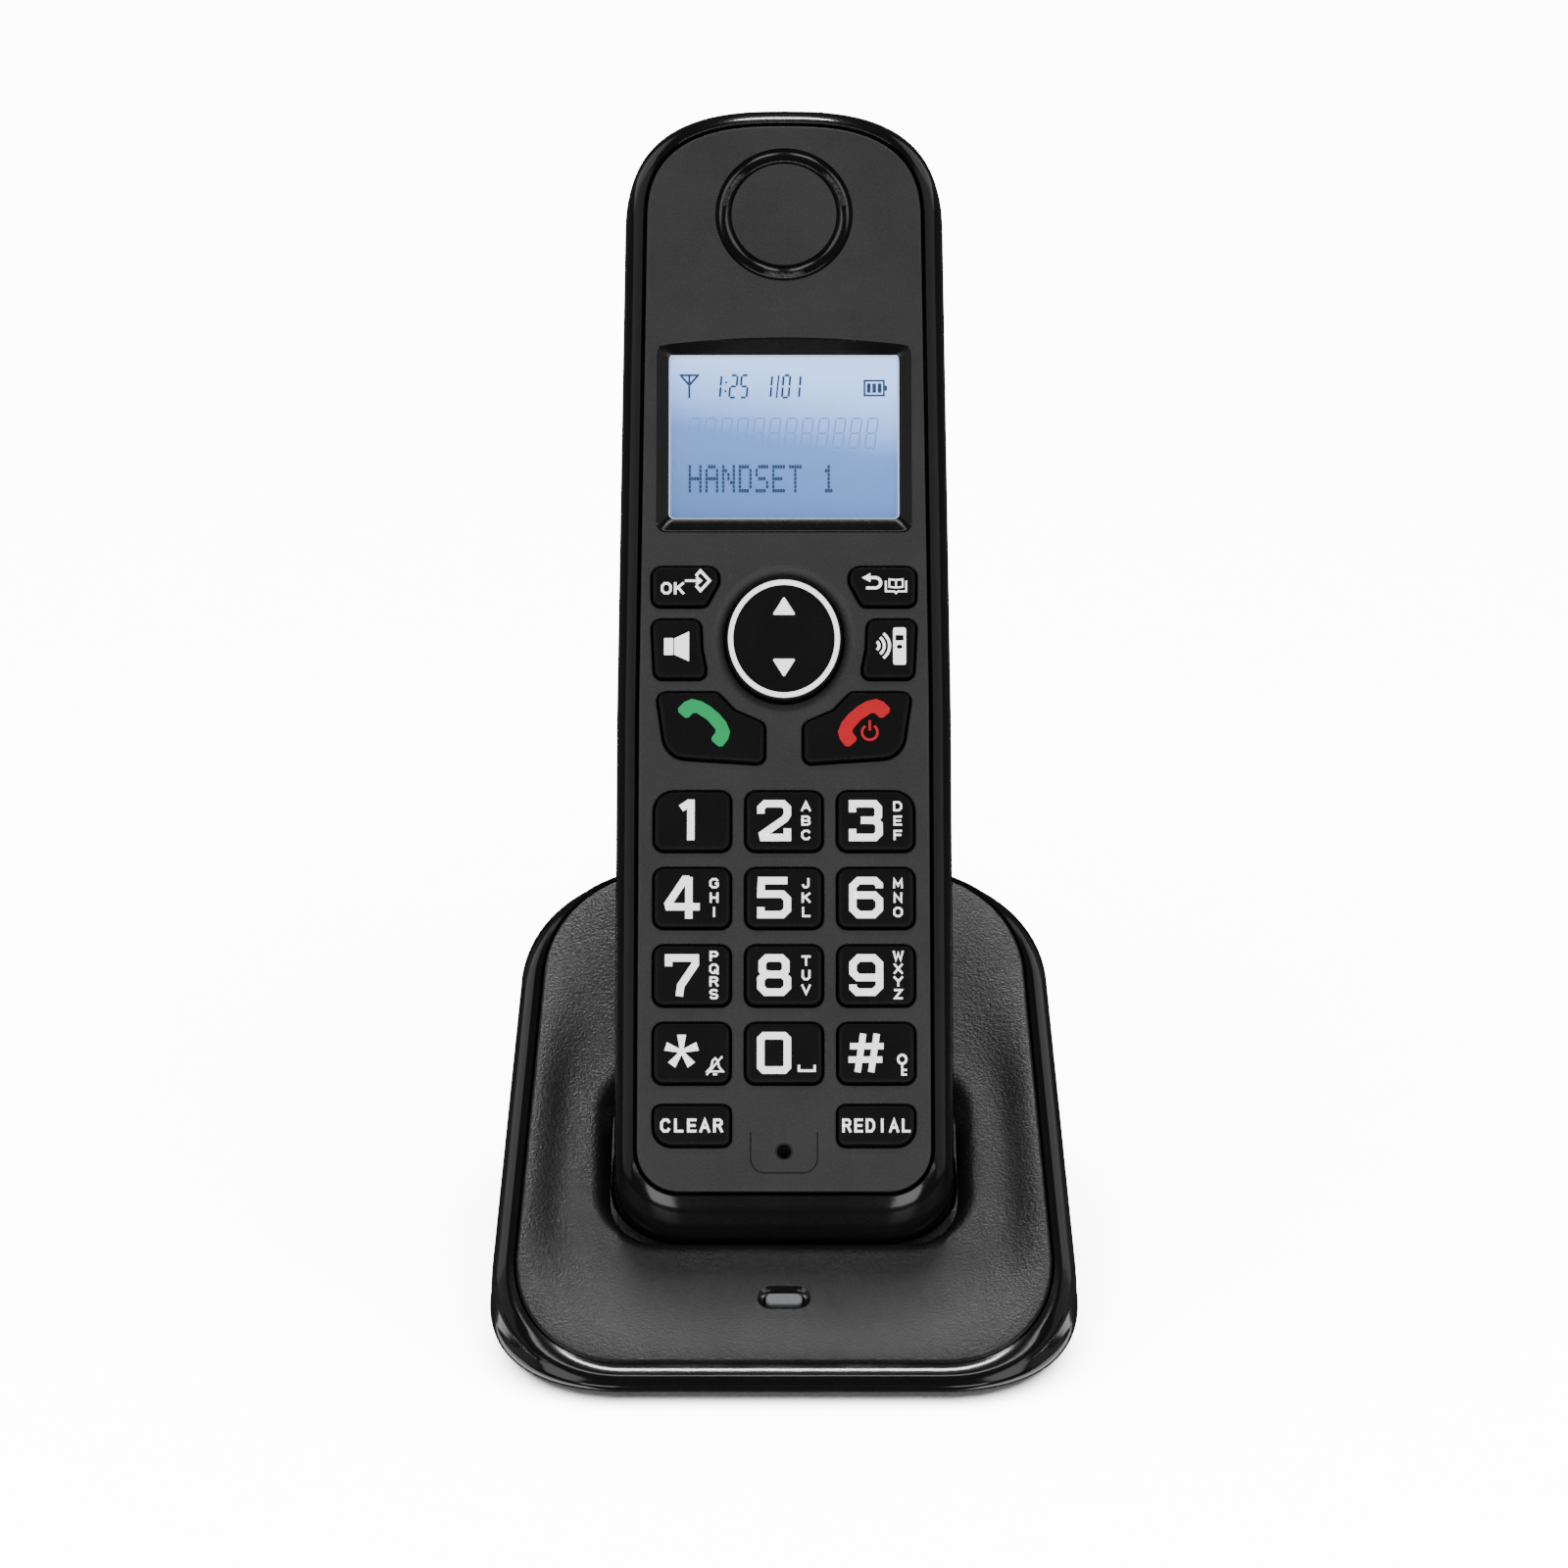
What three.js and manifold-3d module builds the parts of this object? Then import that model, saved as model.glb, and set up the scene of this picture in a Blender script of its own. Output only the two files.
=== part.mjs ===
// Cordless telephone: a handset docked in its charging base.
// Millimetres, +Z up. The origin is on the surface that the base stands on, under the middle of the
// docked telephone. The base's front faces -Y, and the handset leans back towards +Y.
import * as THREE from "three";
import { mergeVertices } from "three/addons/utils/BufferGeometryUtils.js";
import Module from "manifold-3d";

const wasm = await Module();
wasm.setup();

// ---------------------------------------------------------------- driving dimensions
const GAP = 0.3; // between fixed pieces that meet
const ARC_STEPS = 3; // segments of each rounded corner

const BASE = {
  halfWidth: 41,
  backTaper: 2.1, // how much each side draws in towards the back
  front: 44, // from the middle of the plan to the front edge
  back: 45,
  frontCorner: { x: 19, y: 20 },
  backCorner: { x: 23, y: 23 },
  deckHeight: 25, // of the sloping deck over the middle of the plan
  deckSlope: 0.5, // rise per millimetre towards the back
  rimWidth: 3.4,
  deckThickness: 2.2,
  seamHeight: 1.5, // bottom edge of the rim
};
const STAND_Y = -16.75; // the base's middle, from the middle of the docked telephone
// The deck is dished inside the rim, then rolls over into the cradle that the handset stands in.
const DISH = { depth: 1.6, shares: [[0.25, 0.25], [0.5, 0.7], [0.8, 0.97]] };
const CRADLE = {
  halfWidth: 24.5,
  front: -18.7,
  back: 7.6,
  corner: 7,
  roll: [[3.2, 0], [2, 0.2], [1, 0.75], [0.3, 1.4], [0, 1.8]], // distance from the cradle, further drop
  wall: 2,
  clearance: 0.5,
  floor: 2.9,
  spokes: 56,
};
const FOOT = { radius: 4, height: 1.2, x: 26, front: -30, back: 28 };
const COVER = { bottom: 0.6, top: 2, step: 3.8 };

// The handset is drawn on its face: x across, y up along the face, z out of the face.
const HANDSET = {
  lean: THREE.MathUtils.degToRad(30), // from upright
  footY: -22, // where the face plane meets the chin's level, in the base's frame
  footZ: 15.05,
  halfWidth: 24,
  earTaper: 0.8,
  taperStart: 75,
  top: 165,
  bottom: -2.2,
  topEnd: 19, // length of the rounded top end
  topPower: 2.7,
  chinCorner: 10,
  depthAtFoot: 17.6,
  depthGrowth: 0.042,
};
const PLATE = { inset: { side: 3.4, top: 4.1, bottom: 8.5 }, thickness: 1.6 };
const KEY = {
  proud: 0.8,
  chamfer: 0.45,
  flange: 0.6,
  flangeTop: -1.9,
  flangeBottom: -2.5,
  clearance: GAP,
};
const DIAL = { pitchX: 12.95, pitchY: 11, topRow: 58.65, width: 11.2, height: 8.95, corner: 1.6 };
const NAV = { y: 84.9, halfWidth: 8.6, halfHeight: 9.25, moat: 1, flangeSink: 0.6 };
const EAR = { y: 147.6, outer: 9.8, inner: 7.7, groove: 0.9, slots: [30, 150, 270], slotAngle: 40 };
const LCD = { halfWidth: 16.55, bottom: 102.8, top: 127, frame: 1.75, frameBottom: 2.3, sink: 1.2 };
const MIC = { y: 11.9, radius: 0.95 };
const BATTERY = { radius: 5.25, length: 44.5, x: 5.9, bottom: 65, depth: 12.5 };
const DOOR = { halfWidth: 14, bottom: 58, top: 116, corner: 2.5, thickness: 1.5 };
const CONTACT = { x: 7, width: 2.4, depth: 2.4, z: -10, top: -2.85, length: 3.4, slot: 6 };
const PAD = { halfWidth: 2.4, halfDepth: 1.6, bottom: -2.5, top: 0.3 };

const LOUDSPEAKER = { y: 138, radius: 9, depth: 3.4, clearance: 2.2 };
const GRILLE = { halfLength: 6, halfWidth: 0.6, pitch: 2.6, each: 2 };
const RECEIVER = { radius: 8.5, flange: 9.6, front: -1.9, step: -3, back: -6.4 };
const MEMBRANE = { halfWidth: 19.4, bottom: 10.6, top: 97, back: -4.4, front: -3.6 };
// The parts of the display, by how far they reach past the window and by their depths.
const DISPLAY = {
  window: { grow: 1.2, back: -2.8, front: -1.9 },
  panel: { grow: 1.6, back: -4, front: -3.1 },
  backlight: { grow: 1.2, back: -5.3, front: -4.3 },
};
const SCREW = { x: 10, y: 48, head: 1.9, shank: 1, length: 7, headDepth: 0.9 };
const BOARD = { bottom: 9, top: 135, halfWidth: 19, front: -5.6, back: -6.6 };
const LAMP = { y: -29, halfWidth: 2.55, halfHeight: 0.95, length: 3, recess: 0.5, recessGrow: 1 };
const BOSS = { radius: 2.6, hole: 1.3, bottom: 2.5, top: 10, web: 5 };
const SCREW_PLACES = [[-34.2, -18], [34.2, -18], [-32.2, 20], [32.2, 20]];
const JACK_BACK = 44.5;
const LINE_JACK = { x: -11, halfWidth: 6.5, bottom: 5.8, top: 17.2, front: 30 };
const POWER_JACK = { x: 13, halfWidth: 5, bottom: 5.8, top: 15.8, front: 32 };
const FOOT_PLACES = [FOOT.front, FOOT.back].flatMap((y) =>
  [-FOOT.x, FOOT.x].map((x) => [x, y]),
);

// ---------------------------------------------------------------- materials
const FINISHES = {
  mattePlastic: { color: 0x39393b, roughness: 0.62, metalness: 0 },
  glossPlastic: { color: 0x0d0d0e, roughness: 0.12, metalness: 0 },
  deckPlastic: { color: 0x232325, roughness: 0.7, metalness: 0 },
  innerPlastic: { color: 0x2e2e30, roughness: 0.6, metalness: 0 },
  key: { color: 0x1b1b1d, roughness: 0.5, metalness: 0 },
  silicone: { color: 0x8a8c90, roughness: 0.8, metalness: 0 },
  display: { color: 0xa9c0e0, roughness: 0.3, metalness: 0 },
  clear: { color: 0xc8d4e6, roughness: 0.05, metalness: 0 },
  lens: { color: 0x94959a, roughness: 0.3, metalness: 0 },
  board: { color: 0x1f5a38, roughness: 0.5, metalness: 0 },
  metal: { color: 0xc9c9cc, roughness: 0.3, metalness: 1 },
  gold: { color: 0xd4af5a, roughness: 0.25, metalness: 1 },
  cell: { color: 0x3f7d4a, roughness: 0.35, metalness: 0 },
  rubber: { color: 0x202020, roughness: 0.9, metalness: 0 },
};

// ---------------------------------------------------------------- solids
function solid(geometry) {
  const bare = new THREE.BufferGeometry().setAttribute("position", geometry.getAttribute("position"));
  if (geometry.index) bare.setIndex(geometry.index);
  const merged = mergeVertices(bare, 1e-4);
  return new wasm.Manifold(
    new wasm.Mesh({
      numProp: 3,
      vertProperties: merged.getAttribute("position").array,
      triVerts: new Uint32Array(merged.index.array),
    }),
  );
}

function geometryOf(body) {
  const mesh = body.getMesh();
  const geometry = new THREE.BufferGeometry();
  geometry.setAttribute("position", new THREE.BufferAttribute(new Float32Array(mesh.vertProperties), 3));
  geometry.setIndex(new THREE.BufferAttribute(new Uint32Array(mesh.triVerts), 1));
  geometry.computeVertexNormals();
  return geometry;
}

function addPiece(group, name, shape, finish) {
  const geometry = shape.isBufferGeometry ? shape : geometryOf(shape);
  const mesh = new THREE.Mesh(geometry, new THREE.MeshStandardMaterial(FINISHES[finish]));
  mesh.name = name;
  group.add(mesh);
  return mesh;
}

// A closed body through rings of points, each ring counterclockwise seen from above and above the last.
function loft(rings) {
  const count = rings[0].length;
  const positions = rings.flat().flatMap((point) => [point.x, point.y, point.z]);
  const faces = [];
  for (let ring = 0; ring + 1 < rings.length; ring++) {
    for (let i = 0; i < count; i++) {
      const a = ring * count + i;
      const b = ring * count + ((i + 1) % count);
      faces.push(a, b, b + count, a, b + count, a + count);
    }
  }
  const last = (rings.length - 1) * count;
  const flat = (ring) => ring.map((point) => new THREE.Vector2(point.x, point.y));
  for (const [a, b, c] of THREE.ShapeUtils.triangulateShape(flat(rings[0]), [])) {
    faces.push(a, c, b);
  }
  for (const [a, b, c] of THREE.ShapeUtils.triangulateShape(flat(rings.at(-1)), [])) {
    faces.push(last + a, last + b, last + c);
  }
  const geometry = new THREE.BufferGeometry();
  geometry.setAttribute("position", new THREE.Float32BufferAttribute(positions, 3));
  geometry.setIndex(faces);
  return geometry;
}

const atHeight = (outline, z) => outline.map((point) => new THREE.Vector3(point.x, point.y, z));

// Stacks offset copies of one outline: steps are [offset, z] from the bottom up.
function stack(outline, steps) {
  return solid(loft(steps.map(([offset, z]) => atHeight(offsetOutline(outline, offset), z))));
}

function block(x0, x1, y0, y1, z0, z1) {
  const geometry = new THREE.BoxGeometry(x1 - x0, y1 - y0, z1 - z0);
  return geometry.translate((x0 + x1) / 2, (y0 + y1) / 2, (z0 + z1) / 2);
}

// An upright cylinder between two heights.
function disc(x, y, radius, z0, z1, sides = 16) {
  const geometry = new THREE.CylinderGeometry(radius, radius, z1 - z0, sides);
  return geometry.rotateX(Math.PI / 2).translate(x, y, (z0 + z1) / 2);
}

// A body of revolution about an upright axis; the profile is [radius, z] pairs from the bottom up.
function turned(x, y, profile, sides = 20) {
  const geometry = new THREE.LatheGeometry(profile.map(([r, z]) => new THREE.Vector2(r, z)), sides);
  return geometry.rotateX(Math.PI / 2).translate(x, y, 0);
}

// ---------------------------------------------------------------- outlines
// Moves each point of a closed counterclockwise outline outwards by a distance, or inwards if negative.
function offsetOutline(outline, distance) {
  const count = outline.length;
  return outline.map((point, i) => {
    const before = outline[(i + count - 1) % count];
    const after = outline[(i + 1) % count];
    const edgeIn = new THREE.Vector2(point.x - before.x, point.y - before.y).normalize();
    const edgeOut = new THREE.Vector2(after.x - point.x, after.y - point.y).normalize();
    const normal = new THREE.Vector2(edgeIn.y + edgeOut.y, -edgeIn.x - edgeOut.x).normalize();
    const miter = distance / Math.max(0.5, normal.x * edgeIn.y - normal.y * edgeIn.x);
    return new THREE.Vector2(point.x + normal.x * miter, point.y + normal.y * miter);
  });
}

// A counterclockwise polygon of [x, y, radius] corners, each corner rounded by its radius.
function roundedPolygon(corners) {
  const points = [];
  corners.forEach(([x, y, radius], i) => {
    const corner = new THREE.Vector2(x, y);
    const [px, py] = corners[(i + corners.length - 1) % corners.length];
    const [nx, ny] = corners[(i + 1) % corners.length];
    const back = new THREE.Vector2(px - x, py - y).normalize();
    const ahead = new THREE.Vector2(nx - x, ny - y).normalize();
    const half = Math.acos(THREE.MathUtils.clamp(back.dot(ahead), -1, 1)) / 2;
    const reach = radius / Math.tan(half);
    const start = corner.clone().addScaledVector(back, reach);
    const end = corner.clone().addScaledVector(ahead, reach);
    const bend = new THREE.QuadraticBezierCurve(start, corner, end);
    points.push(...bend.getPoints(ARC_STEPS));
  });
  return points;
}

function rectangle(x0, x1, y0, y1, radius) {
  return roundedPolygon([[x0, y0, radius], [x1, y0, radius], [x1, y1, radius], [x0, y1, radius]]);
}

function ellipse(x, y, halfWidth, halfHeight, sides = 28) {
  const at = (angle) => new THREE.Vector2(x + halfWidth * Math.cos(angle), y + halfHeight * Math.sin(angle));
  return Array.from({ length: sides }, (_, i) => at((2 * Math.PI * i) / sides));
}

const mirrored = (corners) => corners.map(([x, y, radius]) => [-x, y, radius]).reverse();

// One quarter of a superellipse, from its side to its end.
function quarter(halfWidth, length, power, steps) {
  return Array.from({ length: steps + 1 }, (_, i) => {
    const angle = (Math.PI / 2) * (i / steps);
    return [halfWidth * Math.cos(angle) ** (2 / power), length * Math.sin(angle) ** (2 / power)];
  });
}

// The handset's front outline, drawn in by an inset at its sides, top and chin.
function handsetOutline({ side, top, bottom }) {
  const half = HANDSET.halfWidth - side;
  const chin = HANDSET.bottom + bottom;
  const corner = HANDSET.chinCorner - 1.2 * Math.max(side, 0);
  const endStart = HANDSET.top - HANDSET.topEnd;
  const right = [[half - corner, chin]];
  for (let i = 1; i <= ARC_STEPS + 1; i++) {
    const angle = (Math.PI / 2) * (i / (ARC_STEPS + 1));
    right.push([half - corner + corner * Math.sin(angle), chin + corner * (1 - Math.cos(angle))]);
  }
  right.push([half, HANDSET.taperStart]);
  for (const [x, y] of quarter(half - HANDSET.earTaper, HANDSET.topEnd - top, HANDSET.topPower, 6)) {
    right.push([x, endStart + y]);
  }
  const left = right.slice(0, -1).reverse().map(([x, y]) => [-x, y]);
  return [...right, ...left].map(([x, y]) => new THREE.Vector2(x, y));
}

const handsetDepth = (y) => HANDSET.depthAtFoot + HANDSET.depthGrowth * y;

// A ring of the handset's shell: depth is in millimetres, or a share of the local depth when shared.
function handsetRing(side, top, bottom, depth, shared = false, extra = 0) {
  return handsetOutline({ side, top, bottom }).map((point) => {
    const z = shared ? depth * handsetDepth(point.y) + extra : depth;
    return new THREE.Vector3(point.x, point.y, -z);
  });
}

// The handset's outer body, grown outwards by a clearance.
function handsetBody(grow) {
  return solid(
    loft([
      handsetRing(6.5 - grow, 9 - grow, 8 - grow, 1, true, grow),
      handsetRing(2.2 - grow, 4 - grow, 3.4 - grow, 0.9, true, grow),
      handsetRing(0.5 - grow, 1.2 - grow, 1 - grow, 0.75, true, grow),
      handsetRing(-grow, 0.2 - grow, -grow, 0.55, true),
      handsetRing(-grow, -grow, 0.6 - grow, 8),
      handsetRing(0.4 - grow, 0.5 - grow, 2.2 - grow, 4.5 - grow),
      handsetRing(1.2 - grow, 1.4 - grow, 4.4 - grow, 2.2 - grow),
      handsetRing(2.1 - grow, 2.5 - grow, 6.2 - grow, 0.9 - grow),
      handsetRing(2.8 - grow, 3.45 - grow, 7.8 - grow, GAP - grow),
    ]),
  );
}

function handsetCavity() {
  return solid(
    loft([
      handsetRing(5.6, 8, 7.5, 1, true, -1.8),
      handsetRing(3, 4.6, 4.2, 0.82, true),
      handsetRing(1.7, 2, 2, 0.5, true),
      handsetRing(1.8, 2.2, 3, 8),
      handsetRing(2.4, 2.6, 4.4, 5),
      handsetRing(3.1, 3.8, 7.4, 3.4),
    ]),
  );
}

// The base's plan outline, drawn in by an inset.
function baseOutline(inset) {
  const half = BASE.halfWidth - inset;
  const frontCorner = { x: BASE.frontCorner.x - inset, y: BASE.frontCorner.y - inset };
  const backCorner = { x: BASE.backCorner.x - inset, y: BASE.backCorner.y - inset };
  const right = [];
  for (const [x, y] of quarter(frontCorner.x, frontCorner.y, 2.1, 5).reverse()) {
    right.push([half - frontCorner.x + x, -(BASE.front - BASE.frontCorner.y) - y]);
  }
  for (const [x, y] of quarter(backCorner.x, backCorner.y, 2.1, 5)) {
    right.push([half - BASE.backTaper - backCorner.x + x, BASE.back - BASE.backCorner.y + y]);
  }
  const left = [...right].reverse().map(([x, y]) => [-x, y]);
  return [...right, ...left].map(([x, y]) => new THREE.Vector2(x, y));
}

const deckZ = (y) => BASE.deckHeight + BASE.deckSlope * y;

// ---------------------------------------------------------------- keys
function dialKeyOutline(column, row) {
  const x = (column - 1) * DIAL.pitchX;
  const y = DIAL.topRow - row * DIAL.pitchY;
  const bigCorner = 3;
  const topLeft = column === 0 && row === 0 ? bigCorner : DIAL.corner;
  const topRight = column === 2 && row === 0 ? bigCorner : DIAL.corner;
  return roundedPolygon([
    [x - DIAL.width / 2, y - DIAL.height / 2, DIAL.corner],
    [x + DIAL.width / 2, y - DIAL.height / 2, DIAL.corner],
    [x + DIAL.width / 2, y + DIAL.height / 2, topRight],
    [x - DIAL.width / 2, y + DIAL.height / 2, topLeft],
  ]);
}

// Key openings in the face plate, by key name. Each left-hand shape has its mirror image on the right.
function keyOutlines() {
  const okCorners = [
    [-18.95, 89.45, 1.4], [-11, 89.45, 1.3], [-9.1, 93, 1.2], [-9.1, 95.6, 1.7], [-19.05, 95.6, 1.6],
  ];
  const speakerCorners = [
    [-18.6, 78.95, 1.4], [-10.95, 78.95, 1.2], [-10.95, 80.8, 1], [-11.5, 83.5, 1.2],
    [-11.7, 87.95, 1.4], [-19.05, 87.95, 1.4],
  ];
  const talkCorners = [
    [-16.9, 67.6, 3.6], [-2.55, 66.65, 1.3], [-2.55, 72.85, 1.4], [-6.9, 74.75, 1.2],
    [-9.4, 77.4, 1], [-18.35, 77.4, 1.4],
  ];
  const clearCorners = [
    [-18.5, 12.4, 2.8], [-7.3, 12.4, 1.3], [-7.3, 18.55, 1.3], [-18.5, 18.55, 1.3],
  ];
  const outlines = {
    key_ok: roundedPolygon(okCorners),
    key_back: roundedPolygon(mirrored(okCorners)),
    key_speaker: roundedPolygon(speakerCorners),
    key_intercom: roundedPolygon(mirrored(speakerCorners)),
    key_talk: roundedPolygon(talkCorners),
    key_end: roundedPolygon(mirrored(talkCorners)),
    key_clear: roundedPolygon(clearCorners),
    key_redial: roundedPolygon(mirrored(clearCorners)),
  };
  const dialNames = ["1", "2", "3", "4", "5", "6", "7", "8", "9", "star", "0", "hash"];
  dialNames.forEach((name, i) => {
    outlines[`key_${name}`] = dialKeyOutline(i % 3, Math.floor(i / 3));
  });
  return outlines;
}

// A key cap with the flange that keeps it behind the face plate, sunk deeper on a key that rocks.
function keyCap(opening, sink = 0) {
  const cap = offsetOutline(opening, -KEY.clearance);
  return stack(cap, [
    [KEY.flange, KEY.flangeBottom - sink],
    [KEY.flange, KEY.flangeTop - sink],
    [0, KEY.flangeTop - sink + 0.05],
    [0, KEY.proud - KEY.chamfer],
    [-KEY.chamfer, KEY.proud],
  ]);
}

// ---------------------------------------------------------------- handset
function facePlate(openings) {
  const outline = handsetOutline(PLATE.inset);
  let plate = stack(outline, [[0, -PLATE.thickness], [0, -0.25], [-0.25, 0]]);
  for (const opening of Object.values(openings)) {
    plate = plate.subtract(stack(opening, [[0, -3], [0, 1]]));
  }
  const nav = ellipse(0, NAV.y, NAV.halfWidth, NAV.halfHeight);
  plate = plate.subtract(stack(nav, [[0, -3], [0, -0.7], [NAV.moat, 0], [NAV.moat, 1]]));
  plate = plate.subtract(earGroove()).subtract(lcdRecess());
  for (const angle of EAR.slots) {
    plate = plate.subtract(earSlot(THREE.MathUtils.degToRad(angle)));
  }
  return plate.subtract(solid(disc(0, MIC.y, MIC.radius, -3, 1, 12)));
}

function earGroove() {
  const ring = [
    [EAR.inner + 0.5, -EAR.groove], [EAR.outer - 0.6, -EAR.groove],
    [EAR.outer, 1], [EAR.inner, 1], [EAR.inner + 0.5, -EAR.groove],
  ];
  return solid(turned(0, EAR.y, ring, 30));
}

function earSlot(middle) {
  const half = THREE.MathUtils.degToRad(EAR.slotAngle) / 2;
  const arc = new THREE.Shape();
  arc.absarc(0, EAR.y, EAR.outer - 0.7, middle - half, middle + half, false);
  arc.absarc(0, EAR.y, EAR.inner + 0.6, middle + half, middle - half, true);
  const cut = new THREE.ExtrudeGeometry(arc, { depth: 4, bevelEnabled: false, curveSegments: 6 });
  return solid(cut.translate(0, 0, -3));
}

// The sloping frame round the display window, with its window cut right through.
function lcdRecess() {
  const { halfWidth, bottom, top, frame, frameBottom, sink } = LCD;
  const corner = 0.8;
  const outer = roundedPolygon([
    [-halfWidth - frame, bottom - frameBottom, corner], [halfWidth + frame, bottom - frameBottom, corner],
    [halfWidth + frame, top + frame - 0.6, corner], [0, top + frameBottom, 6],
    [-halfWidth - frame, top + frame - 0.6, corner],
  ]);
  const inner = roundedPolygon([
    [-halfWidth, bottom, corner], [halfWidth, bottom, corner], [halfWidth, top, corner],
    [0, top + 0.01, 6], [-halfWidth, top, corner],
  ]);
  const heights = [[inner, -3], [inner, -sink], [outer, 0], [outer, 1]];
  return solid(loft(heights.map(([outline, z]) => atHeight(outline, z))));
}

function doorOutline() {
  return rectangle(-DOOR.halfWidth, DOOR.halfWidth, DOOR.bottom, DOOR.top, DOOR.corner);
}

// A slab parallel to the handset's back, between two depths below the back surface.
function backSlab(outline, under, over) {
  const ring = (below) =>
    outline.map((point) => new THREE.Vector3(point.x, point.y, -handsetDepth(point.y) + below));
  return solid(loft([ring(under), ring(over)]));
}

function rearHousing() {
  const opening = offsetOutline(handsetOutline(PLATE.inset), GAP);
  let shell = handsetBody(0).subtract(handsetCavity());
  shell = shell.subtract(stack(opening, [[0, -3.6], [0, 2]]));
  shell = shell.subtract(backSlab(offsetOutline(doorOutline(), GAP), -2, 4));
  const { halfLength, halfWidth, pitch, each } = GRILLE;
  for (let i = -each; i <= each; i++) {
    const y = LOUDSPEAKER.y + i * pitch;
    const slot = rectangle(-halfLength, halfLength, y - halfWidth, y + halfWidth, 0.55);
    shell = shell.subtract(backSlab(slot, -2, 4));
  }
  for (const side of [-1, 1]) {
    shell = shell.subtract(solid(chargePadBox(side, GAP, 2)));
    const depth = handsetDepth(SCREW.y);
    shell = shell.subtract(solid(disc(side * SCREW.x, SCREW.y, SCREW.head + GAP, -depth - 2, 1 - depth, 10)));
    shell = shell.subtract(solid(disc(side * SCREW.x, SCREW.y, SCREW.shank + GAP, -depth - 2, 4 - depth, 10)));
  }
  return shell;
}

function chargePadBox(side, grow, top = PAD.top) {
  const x = side * CONTACT.x;
  const halfWidth = PAD.halfWidth + grow;
  const halfDepth = PAD.halfDepth + grow;
  const { z } = CONTACT;
  return block(x - halfWidth, x + halfWidth, PAD.bottom - grow, top, z - halfDepth, z + halfDepth);
}

function batteryDoor() {
  return backSlab(doorOutline(), 0.05, DOOR.thickness);
}

function cell(x) {
  const { radius, bottom, length } = BATTERY;
  const tip = bottom + length;
  const profile = [
    [0, bottom], [radius - 0.4, bottom], [radius, bottom + 0.4], [radius, tip - 1.6],
    [radius - 0.5, tip - 1], [1.9, tip - 1], [1.9, tip], [0, tip],
  ];
  const geometry = new THREE.LatheGeometry(profile.map(([r, y]) => new THREE.Vector2(r, y)), 14);
  return geometry.translate(x, 0, -BATTERY.depth);
}

function screwAt(x, y, headZ) {
  const profile = [
    [0, 0], [SCREW.head * 0.75, 0], [SCREW.head, SCREW.headDepth / 2], [SCREW.head, SCREW.headDepth],
    [SCREW.shank, SCREW.headDepth], [SCREW.shank, SCREW.length - 0.8], [0, SCREW.length],
  ];
  const geometry = new THREE.LatheGeometry(profile.map(([r, z]) => new THREE.Vector2(r, z)), 10);
  return geometry.rotateX(Math.PI / 2).translate(x, y, headZ);
}

// A plate behind the display's opening.
function behindDisplay({ grow, back, front }) {
  const { halfWidth, bottom, top } = LCD;
  const outline = rectangle(-halfWidth - grow, halfWidth + grow, bottom - grow, top + grow, 0.8);
  return stack(outline, [[0, back], [0, front]]);
}

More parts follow.
